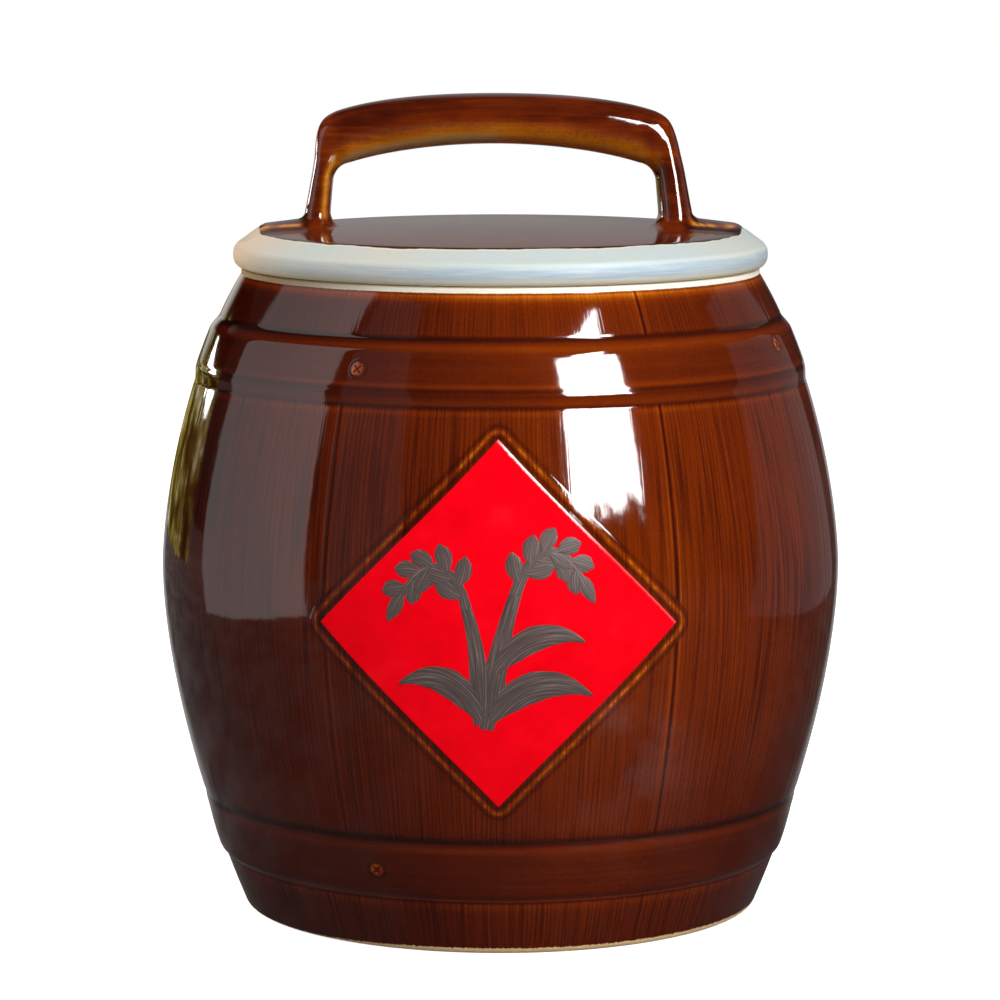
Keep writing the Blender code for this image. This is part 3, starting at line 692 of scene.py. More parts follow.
def foot_rings(section, middle):
    """Rings from the leg's lowest section out over its fillet and the tongue to the lid, top ring first."""
    spoke = section[:, :2] - np.array([middle, 0.0])
    length = np.hypot(spoke[:, 0], spoke[:, 1])
    spoke = spoke / length[:, None]
    in_reach, side_reach = FOOT_REACH
    along = np.where(spoke[:, 0] > 0, FOOT_END - middle, in_reach)
    reach = (np.abs(spoke[:, 0] / along) ** 2.6 + np.abs(spoke[:, 1] / side_reach) ** 2.6) ** (-1 / 2.6)
    fillet = np.minimum(foot_fillet(spoke), 0.95 * (reach - length))
    bends = np.linspace(0, np.pi / 2, 11)[1:]
    rings = [(length + fillet * (1 - math.cos(bend)), fillet * (1 - math.sin(bend))) for bend in bends]
    shares = np.linspace(0, 1, 16)[1:]
    rings += [(length + fillet + (reach - length - fillet) * share, 0 * fillet) for share in shares]
    shaped = []
    for distance, rise in rings:
        x = middle + spoke[:, 0] * distance
        y = spoke[:, 1] * distance
        shaped.append(np.stack([x, y, foot_seat(x, y) + rise], axis=1))
    shaped[-1][:, 2] -= 0.00004
    shaped.append(shaped[-1] - np.array([0, 0, 0.0025]))
    return shaped


def half_grip(side):
    """Rings of one half from under its foot to the middle of the bar, laid out towards +X."""
    outer = leaned(half_outline(GRIP_OUTER), OUTER_LEAN, side)
    inner = leaned(half_outline(GRIP_INNER), INNER_LEAN, side)
    middles = (outer + inner) / 2
    depths = np.interp(middles[:, 0], *GRIP_PLAN)
    leg_plan = RIGHT_LEG_PLAN if side > 0 else LEFT_LEG_PLAN
    depths = np.where(middles[:, 1] < 0.336, np.interp(middles[:, 1], *leg_plan), depths)
    turn = np.linspace(0, 2 * np.pi, GRIP_SIDES, endpoint=False)
    bar = [grip_section(o, i, depth, turn) for o, i, depth in zip(outer, inner, depths)]
    middle = LEG_MIDDLE - side * FOOT_LEAN
    base = bar[0].copy()
    spoke = base[:, :2] - np.array([middle, 0.0])
    spoke = spoke / np.hypot(spoke[:, 0], spoke[:, 1])[:, None]
    base[:, 2] = foot_seat(base[:, 0], base[:, 1]) + foot_fillet(spoke)
    return foot_rings(base, middle)[::-1] + [base] + bar[1:]


def make_lid_grip(material):
    """The strap handle: one bar from foot to foot, each spread over the lid by its fillet and tongue."""
    left = [ring * np.array([-1, 1, 1]) for ring in half_grip(-1)[:-1]]
    rings = np.array(half_grip(1) + left[::-1])
    count = len(rings)
    centres = rings.mean(axis=1)
    path = np.concatenate([[0], np.cumsum(np.linalg.norm(np.diff(centres, axis=0), axis=1))])

    def place(u, v):
        column = np.round(u * GRIP_SIDES).astype(int) % GRIP_SIDES
        row = np.round(v * (count - 1)).astype(int)
        return rings[row, column]

    piece = laid_sheet(GRIP_SIDES, count - 1, place)
    number = np.arange(len(piece.data.vertices))
    set_value(piece, "along", path[number // (GRIP_SIDES + 1)])
    close_seams(piece)
    edit(piece)
    bpy.ops.mesh.select_all(action="DESELECT")
    bpy.ops.mesh.select_non_manifold()
    bpy.ops.mesh.edge_face_add()
    bpy.ops.mesh.select_all(action="SELECT")
    bpy.ops.mesh.normals_make_consistent(inside=False)
    leave_edit()
    places = points_of(piece)
    x = np.abs(places[:, 0] + 0.0020)
    y = places[:, 1]
    z = places[:, 2]
    left = falls(places[:, 0], 0.010, 0.02)
    bar_low = np.interp(x, [0, 0.0275, 0.0495, 0.0633, 0.068], [0.3373, 0.3358, 0.3318, 0.3285, 0.3250])
    rise = (z - bar_low) / 0.0215
    on_bar = falls(x, 0.0745, 0.008) * rises(z, 0.3240, 0.005)
    ochre = falls(rise, 0.58, 0.42) * on_bar * (0.80 + 0.20 * left)
    # Painted shade: the bar is darker towards its top
    shaded_top = rises(rise, 0.45, 0.45) * on_bar
    crease = np.abs(x - np.interp(z, [0.302, 0.312, 0.324, 0.334], [0.0755, 0.0750, 0.0738, 0.0700]))
    leg_edge = bell(crease, 0.0013) * falls(z, 0.335, 0.006) * rises(z, 0.3035, 0.003)
    leg_dark = falls(z, 0.333, 0.008) * rises(z, 0.302, 0.004) * (1.0 - leg_edge * left)
    shoulder = bell(y + np.interp(x, [0.08, 0.105], [0.0135, 0.0105]), 0.0022)
    tongue_edge = shoulder * rises(x, 0.083, 0.004) * falls(x, 0.1062, 0.002)
    # Painted shade: the tongue is darker low down, off its amber shoulder
    tongue_shade = rises(x, 0.080, 0.006) * falls(z, 0.308, 0.002)
    tone = 0.38 * ochre - 0.12 * shaded_top + 0.50 * leg_edge * left - (0.14 - 0.06 * left) * leg_dark
    set_value(piece, "tone", tone + 0.70 * tongue_edge - 0.30 * tongue_shade * (1.0 - tongue_edge))
    set_value(piece, "ochre", np.minimum(ochre + 0.75 * leg_edge * left + 0.55 * tongue_edge, 1.0))
    finish_piece(piece, "lid_grip", material, 60)
    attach(piece, "lid")
    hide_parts("lid_handle")


# Glazes

class Value:
    """The output of a node. Sums are written with it as with a number, and each one adds a node."""

    def __init__(self, nodes, socket):
        self.nodes = nodes
        self.socket = socket

    def __add__(self, other):
        return self.nodes.math("ADD", self, other)

    def __sub__(self, other):
        return self.nodes.math("SUBTRACT", self, other)

    def __rsub__(self, other):
        return self.nodes.math("SUBTRACT", other, self)

    def __mul__(self, other):
        return self.nodes.math("MULTIPLY", self, other)

    def __neg__(self):
        return self * -1.0

    def __abs__(self):
        return self.nodes.math("ABSOLUTE", self)

    __radd__ = __add__
    __rmul__ = __mul__

    def times_plus(self, factor, base):
        return self.nodes.math("MULTIPLY_ADD", self, factor, base)

    def at_least(self, other):
        return self.nodes.math("MAXIMUM", self, other)

    def span(self, low, high, to_low=0.0, to_high=1.0, smooth=True):
        """Take the run from low to high to the run between two other values, and hold it past the ends."""
        inputs = {"Value": self, 1: low, 2: high, 3: to_low, 4: to_high}
        kind = "SMOOTHSTEP" if smooth else "LINEAR"
        return self.nodes.add("ShaderNodeMapRange", inputs=inputs, interpolation_type=kind)

    def spread(self, low, high):
        """Take the usual run of a noise evenly to the run between two values."""
        return self.span(*NOISE_RUN, low, high, smooth=False)

    def hump(self, middle, width, height=1.0):
        """A smooth hump over this value, with its top at the middle."""
        away = (self - middle) * (1 / width)
        return self.nodes.math("EXPONENT", -(away * away)) * height


class Nodes:
    """Builds the nodes of one material or world, each call returning the new node's output."""

    def __init__(self, name, owners=None, shader="Principled BSDF"):
        self.owner = (bpy.data.materials if owners is None else owners).new(name)
        self.owner.use_nodes = True
        self.tree = self.owner.node_tree
        self.shader = self.tree.nodes[shader]

    def make(self, kind, inputs=None, **settings):
        item = self.tree.nodes.new(kind)
        for key, value in settings.items():
            setattr(item, key, value)
        for key, value in (inputs or {}).items():
            self.put(item.inputs[key], value)
        return item

    def add(self, kind, output=0, inputs=None, **settings):
        return Value(self, self.make(kind, inputs, **settings).outputs[output])

    def put(self, socket, value):
        if isinstance(value, Value):
            self.tree.links.new(value.socket, socket)
        else:
            socket.default_value = value

    def math(self, operation, *values, clamp=False):
        inputs = dict(enumerate(values))
        return self.add("ShaderNodeMath", inputs=inputs, operation=operation, use_clamp=clamp)

    def reach(self, x, y):
        """Length of a line by its two parts."""
        return self.math("SQRT", x * x + y * y)

    def mix(self, share, first, second):
        inputs = {0: share, 6: first, 7: second}
        return self.add("ShaderNodeMix", output=2, inputs=inputs, data_type="RGBA")

    def mix_value(self, share, first, second):
        return self.add("ShaderNodeMix", inputs={0: share, 2: first, 3: second})

    def ramp(self, value, stops):
        item = self.make("ShaderNodeValToRGB", {0: value})
        elements = item.color_ramp.elements
        while len(elements) < len(stops):
            elements.new(0.5)
        for element, (place, colour) in zip(elements, stops):
            element.position = place
            element.color = colour
        return Value(self, item.outputs[0])

    def noise(self, vector, scale, detail=2.0, roughness=0.5):
        inputs = {"Vector": vector, "Scale": scale, "Detail": detail, "Roughness": roughness}
        return self.add("ShaderNodeTexNoise", inputs=inputs)

    def value_of(self, name):
        return self.add("ShaderNodeAttribute", output=2, attribute_name=name)

    def ray(self, kind):
        return self.add("ShaderNodeLightPath", output=f"Is {kind} Ray")

    def place(self, frame_of_place="Object"):
        return self.add("ShaderNodeTexCoord", output=frame_of_place)

    def split(self, vector):
        return [Value(self, part) for part in self.make("ShaderNodeSeparateXYZ", {0: vector}).outputs]

    def join(self, x, y, z):
        return self.add("ShaderNodeCombineXYZ", inputs={0: x, 1: y, 2: z})

    def bump(self, height, distance, under=None):
        """A relief in the shading, laid over another one if that is given."""
        inputs = {"Height": height, "Distance": distance, "Strength": 1.0}
        if under is not None:
            inputs["Normal"] = under
        return self.add("ShaderNodeBump", inputs=inputs)

    def finish(self, **inputs):
        for key, value in inputs.items():
            self.put(self.shader.inputs[key.replace("_", " ").title().replace("Ior", "IOR")], value)


def linear(red, green, blue):
    """A colour as seen on screen, 0 to 255, in the shader's linear values, with its alpha."""
    def one(value):
        value /= 255
        return value / 12.92 if value <= 0.04045 else ((value + 0.055) / 1.055) ** 2.4
    return (one(red), one(green), one(blue), 1.0)


NOISE_RUN = (0.3, 0.7)
WHITE = (1, 1, 1, 1)
BROWN_STOPS = [
    (0.00, linear(36, 10, 6)),
    (0.25, linear(76, 22, 6)),
    (0.45, linear(114, 40, 5)),
    (0.62, linear(146, 62, 7)),
    (0.80, linear(190, 104, 16)),
    (1.00, linear(232, 168, 78)),
]
BARE_CLAY = linear(226, 192, 144)
LIP_CLAY = linear(255, 249, 232)
SHADED_LIP_CLAY = linear(162, 140, 108)
DRY_BRUSH = linear(196, 178, 166)
CELADON_STOPS = [(0.25, linear(218, 213, 202)), (0.5, linear(206, 215, 211)), (0.75, linear(200, 213, 217))]
CELADON_BAND = linear(152, 177, 200)
UNDER_RIM_BOUNCE_LIGHT = linear(226, 228, 208)
CREAM_LINE = linear(240, 228, 210)
PAINTED_WARM_LIGHT = linear(246, 218, 188)
OCHRE = linear(160, 106, 14)
DULL_OCHRE = linear(156, 134, 92)
RIM_END_WARM_LIT = linear(226, 214, 196)
RIM_END_RIGHT = linear(201, 210, 206)
ENAMEL_STOPS = [(0.3, linear(238, 0, 18)), (0.6, linear(252, 2, 24)), (0.85, linear(255, 22, 34))]
EDGE_HIGHLIGHT_WHITE = linear(255, 236, 232)
CHARCOAL_STOPS = [(0.30, linear(58, 46, 44)), (0.52, linear(84, 72, 70)), (0.70, linear(128, 114, 110))]
LINING_STOPS = [(0.3, linear(205, 211, 200)), (0.7, linear(196, 208, 206))]


def round_the_jar(nodes):
    """Distance round the wall from the front, and height."""
    x, y, z = nodes.split(nodes.place())
    return nodes.math("ARCTAN2", x, -y) * BELLY[0], z


def stretched(nodes, around, height, across_scale, up_scale, seed=0.0):
    """A place on the wall for a noise, by how fine that is across and up. It has a step at the back."""
    return nodes.join(around * across_scale, height * up_scale, seed)


def wide(nodes, across_scale, up_scale, seed=0.0):
    """A place on the jar for a noise that has no step at the back."""
    x, y, z = nodes.split(nodes.place())
    return nodes.join(x * across_scale, y * across_scale, z.times_plus(up_scale, seed))


def wood_grain(nodes, around, height):
    """Thin lines of a carved wood grain, 1 in a line and 0 beside it, and the streaks between them."""
    wander = nodes.noise(wide(nodes, 55.0, 8.0), 1.0, 3.0)
    shift = wander.times_plus(0.0036, around)
    cell = nodes.add(
        "ShaderNodeTexVoronoi",
        inputs={"Vector": stretched(nodes, shift, height, 430.0, 5.0), "Scale": 1.0, "Randomness": 0.75},
        feature="DISTANCE_TO_EDGE",
        voronoi_dimensions="2D",
    )
    depth = nodes.noise(stretched(nodes, shift, height, 160.0, 22.0, 5.0), 1.0)
    streak = nodes.noise(stretched(nodes, shift, height, 900.0, 16.0, 3.0), 1.0, 2.0, 0.6)
    return cell.span(0.17, 0.01) * depth.span(0.34, 0.66, 0.35, 1.0), streak


def off_bead(nodes, around, height):
    """Distance of a point on the wall from the middle line of the diamond's bead, positive outside it."""
    across = abs(around - PANEL_ACROSS)
    up = abs(height - PANEL_HEIGHT)
    side = (across + up - BEAD_REACH) * (1 / math.sqrt(2))
    past = (abs(across - up) - BEAD_REACH).at_least(0.0) * (1 / math.sqrt(2))
    return nodes.reach(side.at_least(0.0), past) + nodes.math("MINIMUM", side, 0.0) - BEAD_CORNER


def brown_glaze():
    """Transparent brown glaze over carved clay: dark where it pools, amber where it runs thin."""
    nodes = Nodes("brown_glaze_on_staves")
    around, height = round_the_jar(nodes)
    line, streak = wood_grain(nodes, around, height)
    patch = nodes.noise(wide(nodes, 34.0, 9.0, 9.0), 1.0, 3.0, 0.55)
    ring = nodes.noise(wide(nodes, 9.0, 420.0, 2.0), 1.0, 3.0, 0.6)
    cloud = nodes.noise(nodes.place(), 16.0, 3.0, 0.6)
    speck = nodes.noise(nodes.place(), 900.0, 2.0, 0.6)
    grained = nodes.value_of("grain")

    # Thin on the bead's crest, where it is broken, and thick in the grooves beside it
    off = off_bead(nodes, around, height)
    beside = off.hump(-0.0022, 0.0010, -0.15) + off.hump(0.0023, 0.0010, -0.12)
    broken = nodes.noise(stretched(nodes, around, height, 260.0, 260.0, 12.0), 1.0, 3.0, 0.6)
    crest = off.hump(0.0, 0.0010) * broken.span(*NOISE_RUN, 0.12, 0.36)
    tone = nodes.value_of("tone") + (beside + crest)

    # Carved on the staves, plain on the hoops
    line_depth = (0.155 + crest * 0.5) * height.span(0.268, 0.279, 1.0, 0.35)
    carved = 0.460 - line * line_depth + streak.spread(-0.054, 0.054) + patch.spread(-0.016, 0.016)
    level = nodes.mix_value(grained, 0.40 + ring.spread(-0.035, 0.035), carved)
    level = level + cloud.spread(-0.040, 0.040) + speck.spread(-0.030, 0.030)

    # Painted shade: darker towards the left, the right, the top and the foot
    left = around.span(-0.17, 0.03, -0.33, 0.0, smooth=False) * height.span(0.01, 0.13, 0.52, 1.0)
    level = level + left * around.span(-0.47, -0.34, 0.32, 1.0) + around.span(0.04, 0.18, 0.0, -0.105)
    level = level + height.span(0.2625, 0.2660, 0.0, -0.05) + height.span(0.0, 0.17, -0.14, 0.0)
    colour = nodes.ramp(nodes.math("ADD", level, tone, clamp=True), BROWN_STOPS)

    # Bare clay at the foot, up to a ragged line, and on the lip, with painted shade over the lip's left
    # part
    ragged = nodes.noise(stretched(nodes, around, height, 700.0, 500.0), 1.0, 3.0, 0.75)
    worn = around.span(-0.14, -0.02, 0.0018, 0.0) * around.span(-0.46, -0.36)
    bare = (ragged.times_plus(0.0024, height) + worn).span(0.0036, 0.0042, 1.0, 0.0)
    lip = ragged.times_plus(0.0006, height).span(0.28095, 0.28145)
    # Painted shade: the lip's clay is darker on its left part
    lit_lip = around.span(-0.16, -0.05).at_least(around.span(-0.46, -0.30, 1.0, 0.0))
    colour = nodes.mix(bare, colour, BARE_CLAY)
    colour = nodes.mix(lip, colour, nodes.mix(lit_lip, SHADED_LIP_CLAY, LIP_CLAY))

    normal = nodes.bump(streak.times_plus(0.35, -line) * grained, 0.000005)
    normal = nodes.bump(nodes.noise(nodes.place(), 130.0), 0.00003, normal)
    nodes.finish(base_color=colour, roughness=bare.at_least(lip).span(0.0, 1.0, 0.06, 0.6), normal=normal)
    return nodes.owner


def lid_glaze():
    """Brown glaze on the lid's top, pale celadon on its rim and underneath."""
    nodes = Nodes("lid_glaze")
    place = nodes.place()
    x, y, z = nodes.split(place)
    radius = nodes.reach(x, y)
    angle = nodes.math("ARCTAN2", x, -y)
    sine = nodes.math("SINE", angle)
    cosine = nodes.math("COSINE", angle)
    waves = nodes.noise(nodes.join(sine, cosine, 0.0), 4.0, 3.0, 0.6) - 0.5
    edge = waves.times_plus(-0.0050, radius)
    pale = edge.span(0.10580, 0.10620).at_least(z.span(0.2935, 0.2925))

    # The brown top, dark along its edge, with dry marks of the brush
    level = 0.36 + nodes.noise(place, 40.0, 3.0, 0.6).spread(-0.05, 0.06)
    level = nodes.math("ADD", level, edge.span(0.1030, 0.1048, 0.0, -0.34), clamp=True)
    rings = nodes.noise(nodes.join(radius * 900.0, 0.0, 0.0), 1.0)
    brush = nodes.noise(nodes.join(radius * 190.0, sine * 3.0, cosine * 3.0), 1.0, 3.0, 0.65)
    dry = (rings.span(0.45, 0.70) * 0.06 + brush.span(0.45, 0.75) * 0.09) * radius.span(0.101, 0.090)
    brown = nodes.mix(dry, nodes.ramp(level, BROWN_STOPS), DRY_BRUSH)

    # The celadon, with a blue band round its middle that is fainter and mottled to the left
    celadon = nodes.ramp(nodes.noise(place, 14.0, 3.0, 0.55), CELADON_STOPS)
    band_line = waves.times_plus(0.0012, z)
    mottle = nodes.noise(nodes.join(angle * 5.0, z * 900.0, radius * 500.0), 1.0, 3.0, 0.6)
    band = band_line.span(0.2930, 0.2908) * band_line.span(0.2852, 0.2872)
    band = band * mottle.span(0.32, 0.62, 0.30, 1.0) * angle.span(-0.9, -0.1, 0.35, 1.0)
    celadon = nodes.mix(band * 0.72, celadon, CELADON_BAND)
    # Painted light: the rim's underside is paler and yellower, as if lit from the floor below
    celadon = nodes.mix(z.span(0.2872, 0.2850) * 0.8, celadon, UNDER_RIM_BOUNCE_LIGHT)
    thin = edge.span(0.10740, 0.10690) * z.span(0.2925, 0.2935) * abs(x).span(0.085, 0.098, 1.0, 0.25)
    celadon = nodes.mix(thin * 0.8, celadon, CREAM_LINE)
    # Painted light: a warm peach glow over the rim's left side
    warm_lit_share = angle.span(-0.75, -1.40) * angle.span(-2.5, -1.9)
    celadon = nodes.mix(warm_lit_share * 0.75, celadon, PAINTED_WARM_LIGHT)

    normal = nodes.bump(nodes.noise(place, 120.0), 0.00002, nodes.bump(rings, 0.00001))
    colour = nodes.mix(pale, brown, celadon)
    nodes.finish(base_color=colour, roughness=pale.span(0.0, 1.0, 0.10, 0.55), normal=normal)
    return nodes.owner


def grip_glaze():
    """Brown glaze brushed along the handle, thin and ochre along its lower edge."""
    nodes = Nodes("brown_glaze_on_grip")
    place = nodes.place()
    x, y, z = nodes.split(place)
    streak = nodes.noise(nodes.join(nodes.value_of("along") * 16.0, y * 260.0, z * 330.0), 1.0, 4.0, 0.65)
    level = 0.40 + streak.spread(-0.13, 0.13) + nodes.noise(place, 45.0, 3.0, 0.6).spread(-0.06, 0.06)
    level = nodes.math("ADD", level, nodes.value_of("tone"), clamp=True)
    colour = nodes.ramp(level, BROWN_STOPS)
    ochre = nodes.value_of("ochre")
    speck = nodes.noise(place, 700.0)
    colour = nodes.mix(ochre * speck.span(0.36, 0.62, 0.35, 0.95), colour, OCHRE)
    colour = nodes.mix(nodes.math("POWER", ochre, 9.0) * 0.9, colour, DULL_OCHRE)
    # The tongues' pale ends; the left one has the rim's painted warm light
    pale = nodes.reach(x, y).span(0.1058, 0.1066) * z.span(0.3080, 0.3060)
    colour = nodes.mix(pale, colour, nodes.mix(x.span(-0.05, 0.05), RIM_END_WARM_LIT, RIM_END_RIGHT))
    normal = nodes.bump(nodes.noise(place, 150.0), 0.00006)
    nodes.finish(base_color=colour, roughness=pale.span(0.0, 1.0, 0.08, 0.5), normal=normal)
    return nodes.owner


def red_enamel():
    """Red enamel, brushed on thick, with a painted highlight, a ragged white line, along its upper right
    edge.
    """
    nodes = Nodes("red_enamel")
    place = nodes.place()
    around, height = round_the_jar(nodes)
    across = around - PANEL_ACROSS
    up = height - PANEL_HEIGHT
    inside = (PANEL_HALF - (across + up)) * (1 / math.sqrt(2))
    ragged = nodes.noise(place, 500.0, 3.0, 0.7)
    along = up - across
    fade = along.span(-0.020, 0.020, 0.08, 1.0) * along.span(0.080, 0.070)
    # Painted highlight: a ragged white line along the upper right edge, fading towards its right corner
    painted_highlight = ragged.times_plus(0.0012, inside).span(0.0019, 0.0012) * fade
    colour = nodes.mix(painted_highlight, nodes.ramp(nodes.noise(place, 60.0, 4.0, 0.6), ENAMEL_STOPS), EDGE_HIGHLIGHT_WHITE)
    normal = nodes.bump(nodes.noise(place, 240.0, 3.0, 0.6), 0.00003)
    nodes.finish(base_color=colour, roughness=0.5, normal=normal, specular_ior_level=0.04)
    return nodes.owner


def charcoal_paint():
    """Thick grey-black paint with the streaks of the brush."""
    nodes = Nodes("charcoal_paint")
    brushed = nodes.join(nodes.value_of("along") * 45.0, nodes.value_of("across") * 1500.0, 0.0)
    streak = nodes.noise(brushed, 1.0, 3.0, 0.6)
    colour = nodes.ramp(streak, CHARCOAL_STOPS)
    normal = nodes.bump(streak, 0.00005)
    nodes.finish(base_color=colour, roughness=0.5, normal=normal, specular_ior_level=0.3)
    return nodes.owner


def lining_glaze():
    nodes = Nodes("celadon_lining")
    place = nodes.place()
    colour = nodes.ramp(nodes.noise(place, 12.0, 3.0), LINING_STOPS)
    nodes.finish(base_color=colour, roughness=0.22, normal=nodes.bump(nodes.noise(place, 90.0), 0.00003))
    return nodes.owner


# Studio

CAMERA_PLACE = (-0.0002, -1.902, 0.4344)
CAMERA_DIP = 7.645
CAMERA_LENS = 155.4
CAMERA_SENSOR = 36.0
FLOOR_SIZE = 12
AIM_HEIGHT = 0.18
SPOT_PLACE = (0.16, -0.24)
GARDEN_STOPS = [
    (0.38, (0.02, 0.02, 0.01, 1)),
    (0.49, (0.14, 0.11, 0.01, 1)),
    (0.58, (0.55, 0.46, 0.10, 1)),
    (0.70, (1.8, 1.7, 1.4, 1)),
]


def make_camera():
    data = bpy.data.cameras.new("camera")
    data.lens = CAMERA_LENS
    data.sensor_width = CAMERA_SENSOR
    camera = bpy.data.objects.new("camera", data)
    camera.location = CAMERA_PLACE
    camera.rotation_euler = (math.radians(90 - CAMERA_DIP), 0, 0)
    bpy.context.collection.objects.link(camera)
    bpy.context.scene.camera = camera


def make_floor():
    """A white floor that keeps the jar's shadow. The glaze mirrors it as a dark table, pale behind."""
    floor = begin(bpy.ops.mesh.primitive_plane_add, size=FLOOR_SIZE, location=(0, 0, 0))
    floor.name = "floor"
    nodes = Nodes("pale_floor")
    seen = nodes.ray("Camera")
    mirrored = nodes.ray("Glossy")
    x, y, z = nodes.split(nodes.place())
    bounce = nodes.mix(mirrored, (0.45, 0.43, 0.40, 1.0), (0.02, 0.02, 0.02, 1.0))
    colour = nodes.mix(seen, bounce, (0.9, 0.9, 0.9, 1.0))
    behind = y.span(0.02, 0.30, 0.0, 0.30) * y.times_plus(-0.30, abs(x)).span(0.20, 0.13)
    haze = nodes.noise(nodes.place(), 11.0, 4.0, 0.6).span(0.35, 0.65, 0.60, 1.3)
    haze = haze * x.span(-0.30, 0.10, 0.11, 0.045)
    patches = nodes.noise(nodes.place(), 7.0, 4.0, 0.6)
    away = nodes.reach(x - SPOT_PLACE[0], y - SPOT_PLACE[1])
    spot = away.span(0.16, 0.02, 0.0, 0.45) * patches.span(0.42, 0.62)
    light = seen * 0.85 + (behind + haze + spot) * mirrored
    nodes.finish(base_color=colour, roughness=0.9, specular_ior_level=0.0)
    nodes.finish(emission_color=WHITE, emission_strength=light)
    floor.data.materials.append(nodes.owner)


def make_world():
    """A white backdrop behind the jar, and a dark room on the camera's side for the glaze to mirror."""
    nodes = Nodes("studio", bpy.data.worlds, "Background")
    bpy.context.scene.world = nodes.owner
    x, y, z = nodes.split(nodes.place("Generated"))
    away = x.at_least(0.0).times_plus(-0.45, y)
    lean = z.at_least(0.0).times_plus(0.3, away)
    room = lean.span(0.86, 1.02, 0.02, 0.318, smooth=False)
    fill = nodes.mix_value(nodes.ray("Glossy"), 0.17, room)
    nodes.finish(color=WHITE, strength=nodes.mix_value(nodes.ray("Camera"), fill, 1.0))


def soft_panel(name, azimuth, elevation, distance, size, strength, colour=(1, 1, 1)):
    """A soft panel of light that the glaze doesn't mirror. Its strength is how bright the panel looks.

    It is placed by its direction from the jar in degrees, the azimuth from the front to the right.
    """
    turn = math.radians(azimuth)
    rise = math.radians(elevation)
    out = Vector((math.sin(turn) * math.cos(rise), -math.cos(turn) * math.cos(rise), math.sin(rise)))
    aim = Vector((0, 0, AIM_HEIGHT))
    place = aim + out * distance
    data = bpy.data.lights.new(name, "AREA")
    data.shape = "RECTANGLE"
    data.size, data.size_y = size
    data.energy = strength * math.pi * size[0] * size[1]
    data.color = colour
    light = bpy.data.objects.new(name, data)
    light.location = place
    light.rotation_euler = (aim - place).to_track_quat("-Z", "Y").to_euler()
    light.visible_glossy = False
    light.visible_camera = False
    bpy.context.collection.objects.link(light)


def mirrored_pane(name, azimuth, distance, corners, glow):
    """An upright pane that only the glaze mirrors, by its corners as (right, height) seen from the jar.

    Its glow is a colour and a strength, or a function that makes them.
    """
    turn = math.radians(azimuth)
    low_left, low_right, top_right, top_left = [np.array(corner) for corner in corners]

    def place(u, v):
        u, v = u[:, None], v[:, None]
        spot = (low_left * (1 - u) + low_right * u) * (1 - v) + (top_left * (1 - u) + top_right * u) * v
        x = distance * math.sin(turn) + spot[:, 0] * math.cos(turn)
        y = -distance * math.cos(turn) + spot[:, 0] * math.sin(turn)
        return np.stack([x, y, spot[:, 1]], axis=1)

    pane = laid_sheet(1, 1, place)
    pane.name = name
    nodes = Nodes(name)
    colour, strength = glow(nodes) if callable(glow) else glow
    nodes.finish(base_color=(0, 0, 0, 1), roughness=1.0, specular_ior_level=0.0)
    nodes.finish(emission_color=colour, emission_strength=strength)
    nodes.owner.cycles.emission_sampling = "NONE"
    pane.data.materials.append(nodes.owner)
    for kind in ("camera", "diffuse", "transmission", "volume_scatter", "shadow"):
        setattr(pane, f"visible_{kind}", False)


def window_glow(nodes):
    """Bright daylight under a gable, cut off along its foot by the ragged tops of plants."""
    x, y, z = nodes.split(nodes.place())
    leaves = nodes.noise(nodes.place(), 17.0, 4.0, 0.7)
    foot = (z + (leaves - 0.5) * 0.42).span(0.495, 0.505)
    side = x * 0.819 + y * 0.574
    from_left = (side - z).span(-1.550, -1.535)
    to_right = z.times_plus(-0.30, side).span(-0.187, -0.173, 1.0, 0.0)
    gable = nodes.mix_value(z.span(1.37, 1.39), 1.0, from_left * to_right)
    return WHITE, foot * gable * 34.0


def left_glow(nodes):
    x, y, z = nodes.split(nodes.place())
    return (1.0, 0.97, 0.97, 1), y.span(0.35, -0.40, 0.62, 1.45)


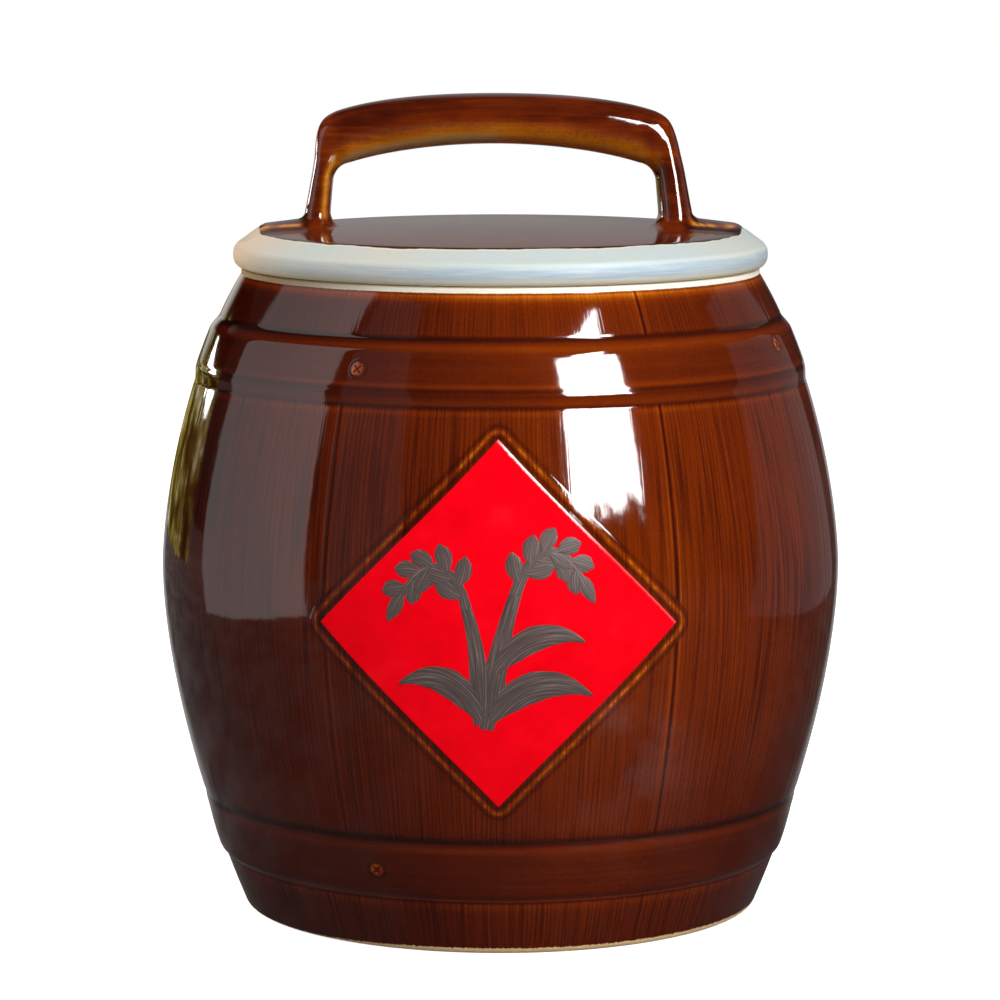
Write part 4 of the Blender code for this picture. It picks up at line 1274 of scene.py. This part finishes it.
def garden_glow(nodes):
    """Blurred leaves, sky and shade outside, to the left behind the jar."""
    x, y, z = nodes.split(nodes.place())
    leaves = nodes.noise(nodes.join(x * 5.0, y * 5.0, z * 9.0), 1.0, 4.0, 0.65)
    haze = y.span(1.36, 1.46) * z.span(0.20, 0.27)
    return nodes.mix(haze, nodes.ramp(leaves, GARDEN_STOPS), (0.80, 0.76, 0.68, 1)), z.span(0.52, 0.36)


# Panes by name, azimuth, distance, corners and glow
PANES = [
    ("window", 35, 1.5, [(-0.30, 0.30), (0.33, 0.26), (0.40, 1.89), (-0.33, 1.48)], window_glow),
    ("left_pane", -95, 0.72, [(-0.175, 0.0), (0.465, 0.0), (0.395, 1.15), (-0.25, 0.64)], left_glow),
    ("left_room", -48, 2.0, [(-0.36, 0.0), (0.64, 0.0), (0.20, 2.6), (-0.62, 2.5)], (WHITE, 0.19)),
    ("right_room", 105, 0.72, [(-0.28, 0.0), (0.60, 0.0), (0.35, 0.60), (-0.07, 0.64)],
     ((1, 0.98, 1, 1), 0.20)),
    ("garden", -148, 1.6, [(-0.60, -0.02), (0.62, -0.02), (0.62, 0.75), (-0.60, 0.75)], garden_glow),
    ("left_lamp", -140, 1.45, [(-0.05, 0.350), (0.22, 0.322), (0.25, 0.395), (-0.08, 0.430)],
     ((1, 1, 0.97, 1), 12.0)),
]


def make_lights():
    soft_panel("key", 30, 33, 2.6, (1.3, 1.3), 13.0)
    soft_panel("warm_side", -116, 20, 2.2, (1.0, 1.4), 7.6, (1.0, 0.84, 0.67))
    for pane in PANES:
        mirrored_pane(*pane)


def main():
    bpy.context.scene.view_settings.view_transform = "Standard"
    make_world()
    make_floor()
    make_lights()
    make_camera()
    staves = brown_glaze()
    make_jar_wall(staves)
    make_jar_lining(lining_glaze())
    make_diamond_bead(staves)
    make_red_panel(red_enamel())
    make_painted_ears(charcoal_paint())
    for number, (angle, height) in enumerate(SCREWS):
        make_screw_head(f"screw_head_{number + 1}", angle, height, staves)
    make_lid_cover(lid_glaze())
    make_lid_grip(grip_glaze())


main()
